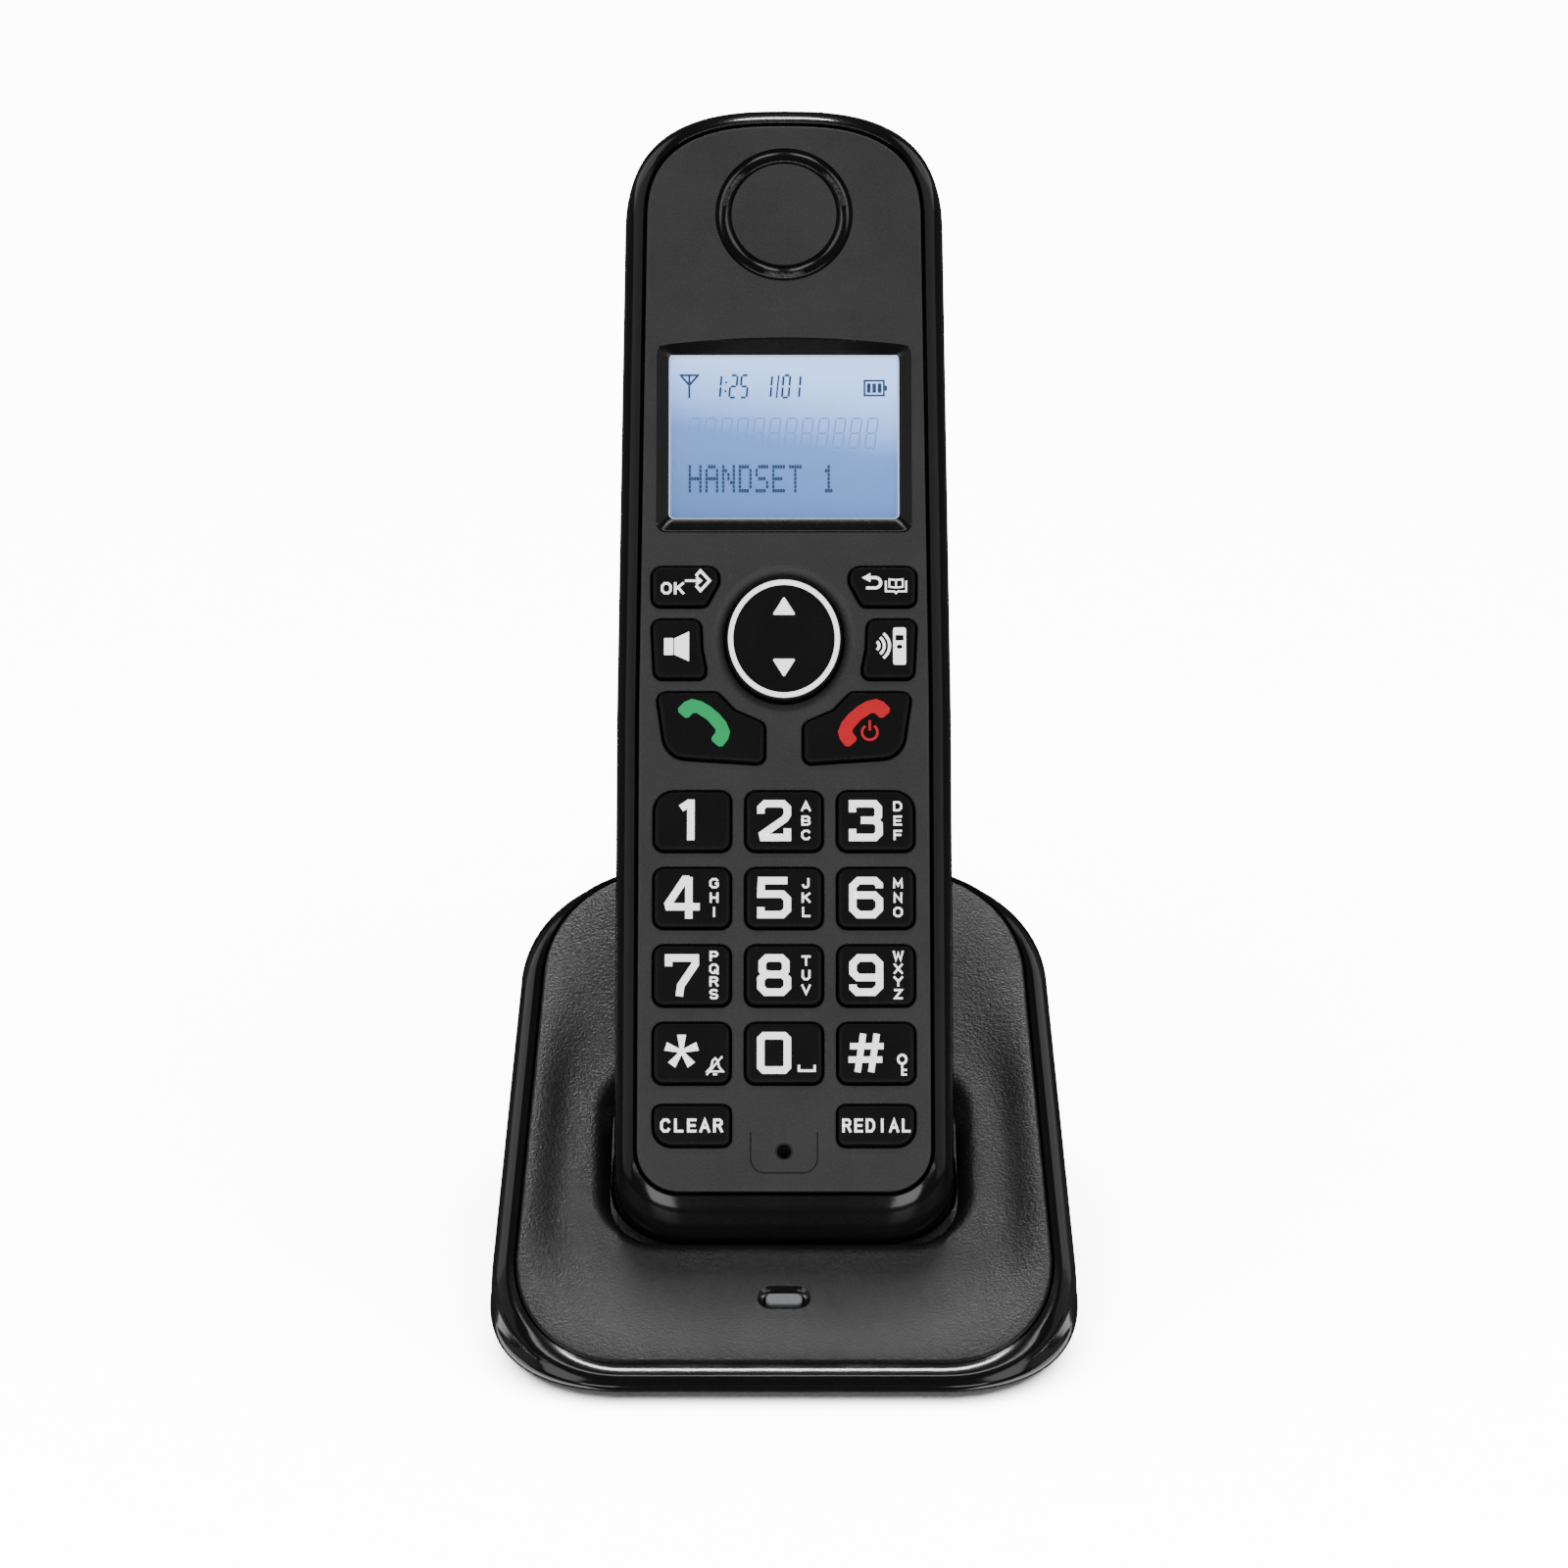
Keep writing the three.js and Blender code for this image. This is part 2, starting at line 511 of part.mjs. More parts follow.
function buildHandset() {
  const handset = new THREE.Group();
  const openings = keyOutlines();
  addPiece(handset, "handset_front_housing", facePlate(openings), "mattePlastic");
  addPiece(handset, "handset_rear_housing", rearHousing(), "glossPlastic");
  addPiece(handset, "battery_cover", batteryDoor(), "glossPlastic");
  for (const [name, opening] of Object.entries(openings)) {
    addPiece(handset, name, keyCap(opening), "key");
  }
  const nav = ellipse(0, NAV.y, NAV.halfWidth, NAV.halfHeight);
  addPiece(handset, "nav_key", keyCap(nav, NAV.flangeSink), "key");

  const { back, front } = MEMBRANE;
  const membrane = rectangle(-MEMBRANE.halfWidth, MEMBRANE.halfWidth, MEMBRANE.bottom, MEMBRANE.top, 2);
  addPiece(handset, "keypad_membrane", stack(membrane, [[0, back], [0, front]]), "silicone");
  const board = rectangle(-BOARD.halfWidth, BOARD.halfWidth, BOARD.bottom, BOARD.top, 3);
  addPiece(handset, "handset_circuit_board", stack(board, [[0, BOARD.back], [0, BOARD.front]]), "board");

  addPiece(handset, "display_window", behindDisplay(DISPLAY.window), "clear");
  addPiece(handset, "display_panel", behindDisplay(DISPLAY.panel), "display");
  addPiece(handset, "display_backlight", behindDisplay(DISPLAY.backlight), "lens");

  const receiver = [
    [0, RECEIVER.back], [RECEIVER.radius, RECEIVER.back], [RECEIVER.radius, RECEIVER.step],
    [RECEIVER.flange, RECEIVER.step], [RECEIVER.flange, RECEIVER.front], [0, RECEIVER.front],
  ];
  addPiece(handset, "earpiece_speaker", turned(0, EAR.y, receiver, 18), "metal");
  const speakerBack = LOUDSPEAKER.clearance - handsetDepth(LOUDSPEAKER.y - LOUDSPEAKER.radius);
  const speaker = [
    [0, speakerBack], [LOUDSPEAKER.radius, speakerBack], [LOUDSPEAKER.radius, speakerBack + 1],
    [LOUDSPEAKER.radius - 2, speakerBack + LOUDSPEAKER.depth], [0, speakerBack + LOUDSPEAKER.depth],
  ];
  addPiece(handset, "loudspeaker", turned(0, LOUDSPEAKER.y, speaker, 18), "metal");
  addPiece(handset, "microphone", disc(0, MIC.y, 2, -3.3, -1.9, 16), "metal");

  for (const [side, word] of [[-1, "left"], [1, "right"]]) {
    addPiece(handset, `battery_${word}`, cell(side * BATTERY.x), "cell");
    addPiece(handset, `charge_pad_${word}`, chargePadBox(side, 0), "gold");
    const headZ = -handsetDepth(SCREW.y) + 0.1;
    addPiece(handset, `handset_screw_${word}`, screwAt(side * SCREW.x, SCREW.y, headZ), "metal");
  }
  const tip = BATTERY.bottom + BATTERY.length;
  const springZ = -BATTERY.depth;
  addPiece(
    handset, "battery_contact_lower",
    block(-10, 10, BATTERY.bottom - 0.8, BATTERY.bottom - GAP, springZ - 4, springZ + 4), "metal",
  );
  addPiece(
    handset, "battery_contact_upper",
    block(-10, 10, tip + GAP, tip + 0.8, springZ - 4, springZ + 4), "metal",
  );
  handset.position.set(0, HANDSET.footY, HANDSET.footZ);
  handset.rotation.x = Math.PI / 2 - HANDSET.lean;
  handset.updateMatrixWorld(true);
  return handset;
}

// ---------------------------------------------------------------- base
function placed(body, group) {
  return solid(geometryOf(body).applyMatrix4(group.matrixWorld));
}

// Everything between a floor and a plane parallel to the deck, at a drop below it.
function underDeck(drop, floor) {
  const far = 70;
  const front = (floor + 0.1 + drop - BASE.deckHeight) / BASE.deckSlope;
  const corners = [[-far, front], [far, front], [far, far], [-far, far]];
  const low = corners.map(([x, y]) => new THREE.Vector3(x, y, floor));
  const high = corners.map(([x, y]) => new THREE.Vector3(x, y, deckZ(y) - drop));
  return solid(loft([low, high]));
}

// Where spokes from the cradle's middle cross an outline.
function spokePoints(outline) {
  const middle = new THREE.Vector2(0, (CRADLE.front + CRADLE.back) / 2);
  return Array.from({ length: CRADLE.spokes }, (_, spoke) => {
    const angle = (2 * Math.PI * (spoke + 0.5)) / CRADLE.spokes;
    const ray = new THREE.Vector2(Math.cos(angle), Math.sin(angle));
    let reach = 0;
    outline.forEach((start, i) => {
      const edge = outline[(i + 1) % outline.length].clone().sub(start);
      const from = start.clone().sub(middle);
      const across = ray.cross(edge);
      const share = from.cross(ray) / across;
      if (share >= 0 && share <= 1) reach = Math.max(reach, from.cross(edge) / across);
    });
    return middle.clone().addScaledVector(ray, reach);
  });
}

// The deck's panel with the cradle's mouth filled in: rings from the middle of its underside, out
// round its edge, and back in over its top.
function deckPanel() {
  const { halfWidth, front, back, corner } = CRADLE;
  const mouth = rectangle(-halfWidth, halfWidth, front, back, corner);
  const edge = spokePoints(baseOutline(BASE.rimWidth + GAP));
  const chamfer = spokePoints(baseOutline(BASE.rimWidth + GAP + 0.4));
  const rolls = CRADLE.roll.map(([distance]) => spokePoints(offsetOutline(mouth, distance)));
  const between = (share) => chamfer.map((point, i) => point.clone().lerp(rolls[0][i], share));
  const onDeck = (points, drop) =>
    points.map((point) => new THREE.Vector3(point.x, point.y, deckZ(point.y) - drop));
  const under = BASE.deckThickness;
  const lowest = DISH.depth + CRADLE.roll.at(-1)[1];
  return solid(
    loft([
      onDeck(rolls.at(-1), lowest + under),
      onDeck(rolls[0], DISH.depth + under + 1),
      onDeck(edge, under),
      onDeck(edge, 0.4),
      onDeck(chamfer, 0),
      ...DISH.shares.map(([across, depth]) => onDeck(between(across), depth * DISH.depth)),
      ...CRADLE.roll.map(([, drop], i) => onDeck(rolls[i], DISH.depth + drop)),
    ]),
  );
}

function deck(handset) {
  const { wall, clearance, floor } = CRADLE;
  const lowest = DISH.depth + CRADLE.roll.at(-1)[1];
  const well = placed(handsetBody(wall), handset).intersect(underDeck(lowest + 0.2, floor));
  let panel = deckPanel().add(well).subtract(placed(handsetBody(clearance), handset));
  for (const side of [-1, 1]) {
    const slot = solid(contactBox(side, GAP, CONTACT.slot));
    panel = panel.subtract(placed(slot, handset));
    const padPath = solid(chargePadBox(side, 0.25, 3));
    panel = panel.subtract(placed(padPath, handset));
  }
  const lamp = lampGroup();
  const { length, recess, recessGrow } = LAMP;
  panel = panel.subtract(placed(stack(lampOutline(GAP), [[0, -length - 1], [0, 2]]), lamp));
  return panel.subtract(placed(stack(lampOutline(recessGrow), [[0, -recess], [0, 2]]), lamp));
}

// A charging contact in the handset's frame, or the slot for it when grown and lengthened.
function contactBox(side, grow, length) {
  const x = side * CONTACT.x;
  const half = CONTACT.width / 2 + grow;
  const { z, depth, top } = CONTACT;
  return block(x - half, x + half, top - length, top + grow, z - depth / 2 - grow, z + depth / 2 + grow);
}

function lampGroup() {
  const group = new THREE.Group();
  group.position.set(0, LAMP.y, deckZ(LAMP.y) - DISH.depth);
  group.rotation.x = Math.atan(BASE.deckSlope);
  group.updateMatrixWorld(true);
  return group;
}

function lampOutline(grow) {
  const x = LAMP.halfWidth + grow;
  const y = LAMP.halfHeight + grow;
  return rectangle(-x, x, -y, y, y * 0.8);
}

// A ring of the rim: how far in from the outline, and how far below the deck at its inner edge.
function rimRing(inset, drop, share) {
  const inner = baseOutline(BASE.rimWidth);
  return baseOutline(inset).map((point, i) => {
    const top = deckZ(inner[i].y);
    const height = top - BASE.seamHeight;
    return new THREE.Vector3(point.x, point.y, top - Math.min(drop, share * height));
  });
}

function rim() {
  const outer = solid(
    loft([
      atHeight(baseOutline(1.5), BASE.seamHeight),
      rimRing(0.5, 45, 0.82),
      rimRing(0, 42, 0.62),
      rimRing(0.25, 3.4, 0.42),
      rimRing(1, 1.6, 0.2),
      rimRing(2.2, 0.35, 0.06),
      rimRing(BASE.rimWidth, 0, 0),
    ]),
  );
  const wall = 2.2;
  const under = (inset, drop) =>
    baseOutline(inset).map((point) => new THREE.Vector3(point.x, point.y, deckZ(point.y) - drop));
  const hollow = solid(
    loft([
      atHeight(baseOutline(wall), 1),
      under(wall, BASE.deckThickness + 0.4),
      under(BASE.rimWidth, BASE.deckThickness + 0.35),
      under(BASE.rimWidth, -3),
    ]),
  );
  let body = outer.subtract(hollow);
  for (const [x, y] of SCREW_PLACES) {
    const web = Math.sign(x) * BOSS.web;
    const webBox = block(Math.min(x, x + web), Math.max(x, x + web), y - 1, y + 1, BOSS.bottom, BOSS.top);
    body = body.add(solid(disc(x, y, BOSS.radius, BOSS.bottom, BOSS.top, 12))).add(solid(webBox));
    body = body.subtract(solid(disc(x, y, BOSS.hole, BOSS.bottom - 1, BOSS.top - 1, 10)));
  }
  for (const jack of [LINE_JACK, POWER_JACK]) {
    const { x, halfWidth, bottom, top } = jack;
    body = body.subtract(solid(block(
      x - halfWidth - GAP, x + halfWidth + GAP, JACK_BACK - 8, JACK_BACK + 8, bottom - GAP, top + GAP,
    )));
  }
  return body;
}

function bottomCover() {
  let cover = solid(
    loft([
      atHeight(baseOutline(3), COVER.bottom),
      atHeight(baseOutline(1.9), BASE.seamHeight - GAP),
      atHeight(baseOutline(COVER.step), BASE.seamHeight - GAP + 0.02),
      atHeight(baseOutline(COVER.step), COVER.top),
    ]),
  );
  for (const [x, y] of SCREW_PLACES) {
    cover = cover.subtract(solid(disc(x, y, SCREW.head + GAP, 0, 2 - GAP, 10)));
    cover = cover.subtract(solid(disc(x, y, SCREW.shank + GAP, 0, 4, 10)));
  }
  for (const [x, y] of FOOT_PLACES) {
    cover = cover.subtract(solid(disc(x, y, FOOT.radius + GAP, 0, FOOT.height + GAP, 16)));
  }
  return cover;
}

// A telephone line socket: a square mouth with a notch below it for the plug's latch.
function lineJack() {
  const { x, halfWidth, bottom, top, front } = LINE_JACK;
  const body = solid(block(x - halfWidth, x + halfWidth, front, JACK_BACK, bottom, top));
  const mouth = solid(block(x - 4.9, x + 4.9, front + 3, JACK_BACK + 1, bottom + 2.2, bottom + 9));
  const notch = solid(block(x - 2, x + 2, front + 3, JACK_BACK + 1, bottom + 1, bottom + 3));
  return body.subtract(mouth).subtract(notch);
}

// A power inlet: a round mouth with a centre pin.
function powerJack() {
  const { x, halfWidth, bottom, top, front } = POWER_JACK;
  const body = solid(block(x - halfWidth, x + halfWidth, front, JACK_BACK, bottom, top));
  const along = (geometry) =>
    solid(geometry.rotateX(-Math.PI / 2).translate(x, JACK_BACK, (bottom + top) / 2));
  const mouth = along(disc(0, 0, 3.2, -9, 1, 24));
  const pin = along(disc(0, 0, 1, -10, -1, 12));
  return body.subtract(mouth).add(pin);
}

function buildBase(handset) {
  const base = new THREE.Group();
  addPiece(base, "base_rim", rim(), "glossPlastic");
  addPiece(base, "cradle_deck", deck(handset), "deckPlastic");
  addPiece(base, "base_bottom_cover", bottomCover(), "innerPlastic");
  const board = rectangle(-25, 25, 2, 39, 2);
  addPiece(base, "base_circuit_board", stack(board, [[0, 3.6], [0, 5.2]]), "board");
  addPiece(base, "line_jack", lineJack(), "innerPlastic");
  addPiece(base, "power_jack", powerJack(), "innerPlastic");
  const corners = ["front_left", "front_right", "back_left", "back_right"];
  corners.forEach((corner, i) => {
    const [x, y] = SCREW_PLACES[i];
    addPiece(base, `base_screw_${corner}`, screwAt(x, y, 0.75), "metal");
    const [fx, fy] = FOOT_PLACES[i];
    addPiece(base, `foot_${corner}`, disc(fx, fy, FOOT.radius, 0, FOOT.height, 16), "rubber");
  });
  const lamp = lampGroup();
  addPiece(lamp, "lamp_lens", stack(lampOutline(0), [[0, -LAMP.length], [0, -0.15], [-0.3, 0.1]]), "lens");
  base.add(lamp);
  return base;
}

function buildContacts(handset) {
  const contacts = new THREE.Group();
  contacts.applyMatrix4(handset.matrixWorld);
  addPiece(contacts, "charge_contact_left", contactBox(-1, 0, CONTACT.length), "gold");
  addPiece(contacts, "charge_contact_right", contactBox(1, 0, CONTACT.length), "gold");
  return contacts;
}

const handset = buildHandset();
const docked = new THREE.Group();
docked.add(handset, buildBase(handset), buildContacts(handset));
docked.position.y = STAND_Y;

const telephone = new THREE.Group();
telephone.name = "cordless_telephone";
telephone.add(docked);

export default telephone;
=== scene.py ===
import bmesh
import math
import bpy
from mathutils import Matrix, Vector


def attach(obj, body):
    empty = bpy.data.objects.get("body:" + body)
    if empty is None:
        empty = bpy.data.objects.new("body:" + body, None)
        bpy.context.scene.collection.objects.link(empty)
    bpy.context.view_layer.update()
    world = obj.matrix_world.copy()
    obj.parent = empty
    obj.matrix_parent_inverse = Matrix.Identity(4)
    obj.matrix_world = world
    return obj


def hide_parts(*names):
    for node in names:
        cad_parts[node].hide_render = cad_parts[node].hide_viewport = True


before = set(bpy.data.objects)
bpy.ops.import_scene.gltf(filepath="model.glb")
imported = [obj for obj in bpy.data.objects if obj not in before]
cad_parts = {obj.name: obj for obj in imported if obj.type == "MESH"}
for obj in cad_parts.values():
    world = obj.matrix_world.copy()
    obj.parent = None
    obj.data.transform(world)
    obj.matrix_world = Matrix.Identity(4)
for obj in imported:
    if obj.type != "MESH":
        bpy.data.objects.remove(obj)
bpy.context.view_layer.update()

# Lengths are in millimetres until a mesh is made, and Blender's own units are metres.
MM = 0.001
GAP = 0.3
STAND_Y = -16.75
LEAN = math.radians(30)
BASE_FRAME = Matrix.Translation((0, STAND_Y, 0))
FACE_IN_BASE = Matrix.Translation((0, -22, 15.05)) @ Matrix.Rotation(math.pi / 2 - LEAN, 4, "X")
FACE_FRAME = BASE_FRAME @ FACE_IN_BASE

BASE_HALF, BACK_TAPER, BASE_FRONT, BASE_BACK = 41, 2.1, 44, 45
FRONT_CORNER, BACK_CORNER = (19, 20), (23, 23)
DECK_HEIGHT, DECK_SLOPE, DECK_THICKNESS = 25, 0.5, 2.2
RIM_WIDTH, SEAM_HEIGHT = 3.4, 1.5
LAMP_Y = -29
DISH = 1.6
# How much of the dish's depth is reached at each share of the way from the rim to the cradle.
DISH_SHARES = [
    (0.06, 0.02), (0.14, 0.09), (0.25, 0.25), (0.38, 0.48), (0.5, 0.7), (0.64, 0.87), (0.8, 0.97), (0.92, 1),
]
MOUTH = (-24.5, 24.5, -18.7, 7.6)
# How far the deck has dropped at each distance outside the cradle's mouth.
ROLL = [
    (3.4, 0), (2.9, 0.03), (2.4, 0.11), (1.9, 0.27), (1.4, 0.52), (1.0, 0.8), (0.65, 1.12), (0.3, 1.5),
    (0, 1.95),
]
BASE_SCREWS = {
    "front_left": (-34.2, -18), "front_right": (34.2, -18),
    "back_left": (-32.2, 20), "back_right": (32.2, 20),
}
FEET = {"front_left": (-26, -30), "front_right": (26, -30), "back_left": (-26, 28), "back_right": (26, 28)}
SCREW_HOLE, SCREW_HEAD_HOLE, FOOT_RADIUS = 1.3, 2.2, 4
# Middle, half width and top of the line socket and of the power inlet.
JACKS = ((-11, 6.5, 17.2), (13, 5, 15.8))
JACK_FLOOR, JACK_BACK = 5.8, 44.5

HAND_HALF, EAR_TAPER, TAPER_START = 24, 0.8, 75
HAND_TOP, HAND_BOTTOM, TOP_END, TOP_POWER, CHIN_CORNER = 165, -2.2, 19, 2.7, 10
DEPTH_AT_FOOT, DEPTH_GROWTH = 17.6, 0.042
PLATE_INSET = (3.4, 4.1, 8.5)
KEY_PROUD = 0.8
NAV_Y, NAV_HALF = 84.9, (8.6, 9.25)
EAR_Y, EAR_OUTER, EAR_INNER = 147.6, 9.8, 7.7
LCD_HALF, LCD_BOTTOM, LCD_TOP = 16.55, 102.8, 127
MIC_Y = 11.9
DOOR = (-14, 14, 58, 116)
GRILLE_Y, GRILLE_PITCH = 138, 2.6
SCOOP_Y = 120.4
HAND_SCREW = (10, 48)
PAD_X = 7
CELL_X, CELL_Z = 5.9, -12.5


# ------------------------------------------------------------------ materials
def new_material(name):
    material = bpy.data.materials.new(name)
    material.use_nodes = True
    return material, material.node_tree, material.node_tree.nodes["Principled BSDF"]


def give(node, values):
    """Sets a node's inputs from {name: value}."""
    for name, value in values.items():
        node.inputs[name].default_value = value


def shade(colour, by=1):
    return tuple(c * by for c in colour) + (1,)


def grain(tree, millimetres, detail, kind="ShaderNodeTexNoise"):
    """A texture with features of about one size."""
    coords = tree.nodes.new("ShaderNodeTexCoord")
    texture = tree.nodes.new(kind)
    give(texture, {"Scale": 1 / (millimetres * MM), "Detail": detail})
    tree.links.new(coords.outputs["Object"], texture.inputs["Vector"])
    return texture


def ramp(tree, source, low, high, start=0.35, end=0.65):
    node = tree.nodes.new("ShaderNodeValToRGB")
    node.color_ramp.elements[0].position = start
    node.color_ramp.elements[0].color = low
    node.color_ramp.elements[1].position = end
    node.color_ramp.elements[1].color = high
    tree.links.new(source, node.inputs["Fac"])
    return node.outputs["Color"]


def grey(value):
    return (value, value, value, 1)


def moulded(name, colour, roughness, bump, grain_mm, spread=0.12, specular=0.5, coat=0.0):
    """Moulded plastic or rubber: a grained surface, slightly uneven in colour and in gloss."""
    material, tree, shader = new_material(name)
    fine = grain(tree, grain_mm, 3)
    broad = grain(tree, 9, 2)
    mixed = tree.nodes.new("ShaderNodeMix")
    mixed.inputs["Factor"].default_value = 0.35
    tree.links.new(fine.outputs["Fac"], mixed.inputs["A"])
    tree.links.new(broad.outputs["Fac"], mixed.inputs["B"])
    colours = ramp(tree, mixed.outputs["Result"], shade(colour, 1 - spread), shade(colour, 1 + spread))
    tree.links.new(colours, shader.inputs["Base Color"])
    rough = ramp(tree, broad.outputs["Fac"], grey(roughness * 0.94), grey(min(1, roughness * 1.06)))
    tree.links.new(rough, shader.inputs["Roughness"])
    height = tree.nodes.new("ShaderNodeBump")
    give(height, {"Strength": bump, "Distance": grain_mm * MM})
    tree.links.new(fine.outputs["Fac"], height.inputs["Height"])
    tree.links.new(height.outputs["Normal"], shader.inputs["Normal"])
    give(shader, {"Specular IOR Level": specular})
    if coat:
        give(shader, {"Coat Weight": coat, "Coat Roughness": 0.05})
    return material


def metal(name, colour, roughness):
    material, tree, shader = new_material(name)
    fine = grain(tree, 0.4, 4).outputs["Fac"]
    tree.links.new(ramp(tree, fine, shade(colour, 0.85), shade(colour)), shader.inputs["Base Color"])
    rough = ramp(tree, fine, grey(roughness), grey(roughness * 1.5))
    tree.links.new(rough, shader.inputs["Roughness"])
    give(shader, {"Metallic": 1})
    return material


def printed(name, colour, backlight_and_painted_glow):
    """Screen-printed ink or a display's segment, made to shine by emission: on the display's segments this is
    the backlight shining through, and on the ink and the window's edge it is painted light, brighter than the
    lamps make them.
    """
    material, tree, shader = new_material(name)
    fine = grain(tree, 0.25, 2).outputs["Fac"]
    tree.links.new(ramp(tree, fine, shade(colour, 0.93), shade(colour)), shader.inputs["Base Color"])
    give(shader, {"Roughness": 0.5, "Emission Color": shade(colour), "Emission Strength": backlight_and_painted_glow})
    return material


def circuit_material():
    material, tree, shader = new_material("circuit_board")
    tracks = grain(tree, 2.4, 0, "ShaderNodeTexVoronoi")
    tracks.feature = "DISTANCE_TO_EDGE"
    track, board = (0.02, 0.16, 0.06, 1), (0.012, 0.075, 0.03, 1)
    colour = ramp(tree, tracks.outputs["Distance"], track, board, 0.03, 0.06)
    tree.links.new(colour, shader.inputs["Base Color"])
    shader.inputs["Roughness"].default_value = 0.35
    return material


def display_material():
    """A backlit panel, brighter towards its upper right."""
    material, tree, shader = new_material("display_glass")
    coords = tree.nodes.new("ShaderNodeTexCoord")
    split = tree.nodes.new("ShaderNodeSeparateXYZ")
    tree.links.new(coords.outputs["Generated"], split.inputs["Vector"])
    across = tree.nodes.new("ShaderNodeMath")
    across.operation = "MULTIPLY_ADD"
    across.inputs[1].default_value = 0.22
    tree.links.new(split.outputs["X"], across.inputs[0])
    tree.links.new(split.outputs["Z"], across.inputs[2])
    node = tree.nodes.new("ShaderNodeValToRGB")
    node.color_ramp.elements[0].color = (0.10, 0.19, 0.43, 1)
    node.color_ramp.elements[1].color = (0.6, 0.95, 1.7, 1)
    node.color_ramp.elements.new(0.6).color = (0.155, 0.3, 0.72, 1)
    tree.links.new(across.outputs["Value"], node.inputs["Fac"])
    tree.links.new(node.outputs["Color"], shader.inputs["Emission Color"])
    tree.links.new(node.outputs["Color"], shader.inputs["Base Color"])
    give(shader, {"Emission Strength": 1.1, "Roughness": 0.35})
    return material


def clear_material():
    material, tree, shader = new_material("window_clear")
    give(shader, {"Base Color": (0.98, 0.99, 1, 1), "Transmission Weight": 1, "IOR": 1.2})
    smudge = grain(tree, 6, 2)
    rough = ramp(tree, smudge.outputs["Fac"], grey(0.0), grey(0.03))
    tree.links.new(rough, shader.inputs["Roughness"])
    return material


MATERIALS = {
    "face": moulded("face_plastic", (0.054, 0.054, 0.0563), 0.48, 0.35, 0.2, 0.14, 0.35),
    "deck": moulded("deck_plastic", (0.0085, 0.0085, 0.0089), 0.31, 0.3, 0.36, 0.2, 0.5),
    "gloss": moulded("shell_plastic", (0.008, 0.008, 0.0083), 0.14, 0.008, 1.6, 0.1, 0.5),
    # Darker and duller than the plastic round it: painted shade in the seam round the face plate and in the
    # groove round the microphone.
    "groove": moulded("groove_painted_shade", (0.004, 0.004, 0.004), 0.3, 0.05, 0.3, 0.1, 0.25),
    "bezel": moulded("bezel_plastic", (0.009, 0.009, 0.0094), 0.16, 0.01, 1.2, 0.1, 0.5),
    "inner": moulded("inner_plastic", (0.012, 0.012, 0.0125), 0.6, 0.4, 0.4, 0.15),
    "key": moulded("key_rubber", (0.0062, 0.0062, 0.0066), 0.45, 0.2, 0.14, 0.1, 0.2),
    "silicone": moulded("silicone", (0.23, 0.24, 0.26), 0.7, 0.2, 0.3),
    "rubber": moulded("foot_rubber", (0.014, 0.014, 0.014), 0.85, 0.5, 0.4),
    "lamp": moulded("lamp_diffuser", (0.27, 0.275, 0.29), 0.3, 0.05, 0.3, 0.04),
    "sleeve": moulded("cell_wrap", (0.02, 0.13, 0.05), 0.25, 0.05, 0.8, 0.1, 0.5, 0.5),
    "board": circuit_material(),
    "display": display_material(),
    "clear": clear_material(),
    "gold": metal("contact_gold", (0.83, 0.6, 0.24), 0.22),
    "steel": metal("steel", (0.62, 0.62, 0.64), 0.3),
    # The print's emission is painted light: the white, green and red ink shine brighter than the lamps make
    # them.
    "white": printed("print_white", (0.9, 0.9, 0.9), 1.6),
    "green": printed("print_green", (0.0, 0.3, 0.085), 0.85),
    "red": printed("print_red", (0.5, 0.004, 0.012), 0.7),
    "segment": printed("segment_dark", (0.035, 0.075, 0.13), 0.6),
    "ghost": printed("segment_ghost", (0.155, 0.28, 0.58), 1.1),
    # A pale emissive line: a painted highlight along the display window's edge.
    "painted_edge_highlight": printed("window_edge_painted_highlight", (0.8, 0.87, 1.0), 0.6),
    "floor": moulded("floor_sheet", (0.86, 0.86, 0.86), 0.3, 0.0, 8, 0.004, 0.3),
}


# ------------------------------------------------------------------ outlines
def sub(a, b):
    return (a[0] - b[0], a[1] - b[1])


def unit(v):
    length = math.hypot(*v) or 1
    return (v[0] / length, v[1] / length)


def offset(outline, distance):
    """Moves a closed counterclockwise outline outwards."""
    moved = []
    for i, point in enumerate(outline):
        before = unit(sub(point, outline[i - 1]))
        after = unit(sub(outline[(i + 1) % len(outline)], point))
        normal = unit((before[1] + after[1], -before[0] - after[0]))
        reach = distance / max(0.5, normal[0] * before[1] - normal[1] * before[0])
        moved.append((point[0] + normal[0] * reach, point[1] + normal[1] * reach))
    return moved


def rounded(corners, steps=6):
    """A counterclockwise polygon of (x, y, radius) corners, rounded with true arcs."""
    points = []
    for i, (x, y, radius) in enumerate(corners):
        back = unit(sub(corners[i - 1], (x, y)))
        ahead = unit(sub(corners[(i + 1) % len(corners)], (x, y)))
        cosine = max(-0.9999, min(0.9999, back[0] * ahead[0] + back[1] * ahead[1]))
        half = math.acos(cosine) / 2
        reach = radius / math.tan(half)
        middle = unit((back[0] + ahead[0], back[1] + ahead[1]))
        far = radius / math.sin(half)
        centre = (x + middle[0] * far, y + middle[1] * far)
        start = (x + back[0] * reach, y + back[1] * reach)
        end = (x + ahead[0] * reach, y + ahead[1] * reach)
        a0 = math.atan2(start[1] - centre[1], start[0] - centre[0])
        a1 = math.atan2(end[1] - centre[1], end[0] - centre[0])
        turn = (a1 - a0 + math.pi) % (2 * math.pi) - math.pi
        for k in range(steps + 1):
            angle = a0 + turn * k / steps
            points.append((centre[0] + radius * math.cos(angle), centre[1] + radius * math.sin(angle)))
    return points


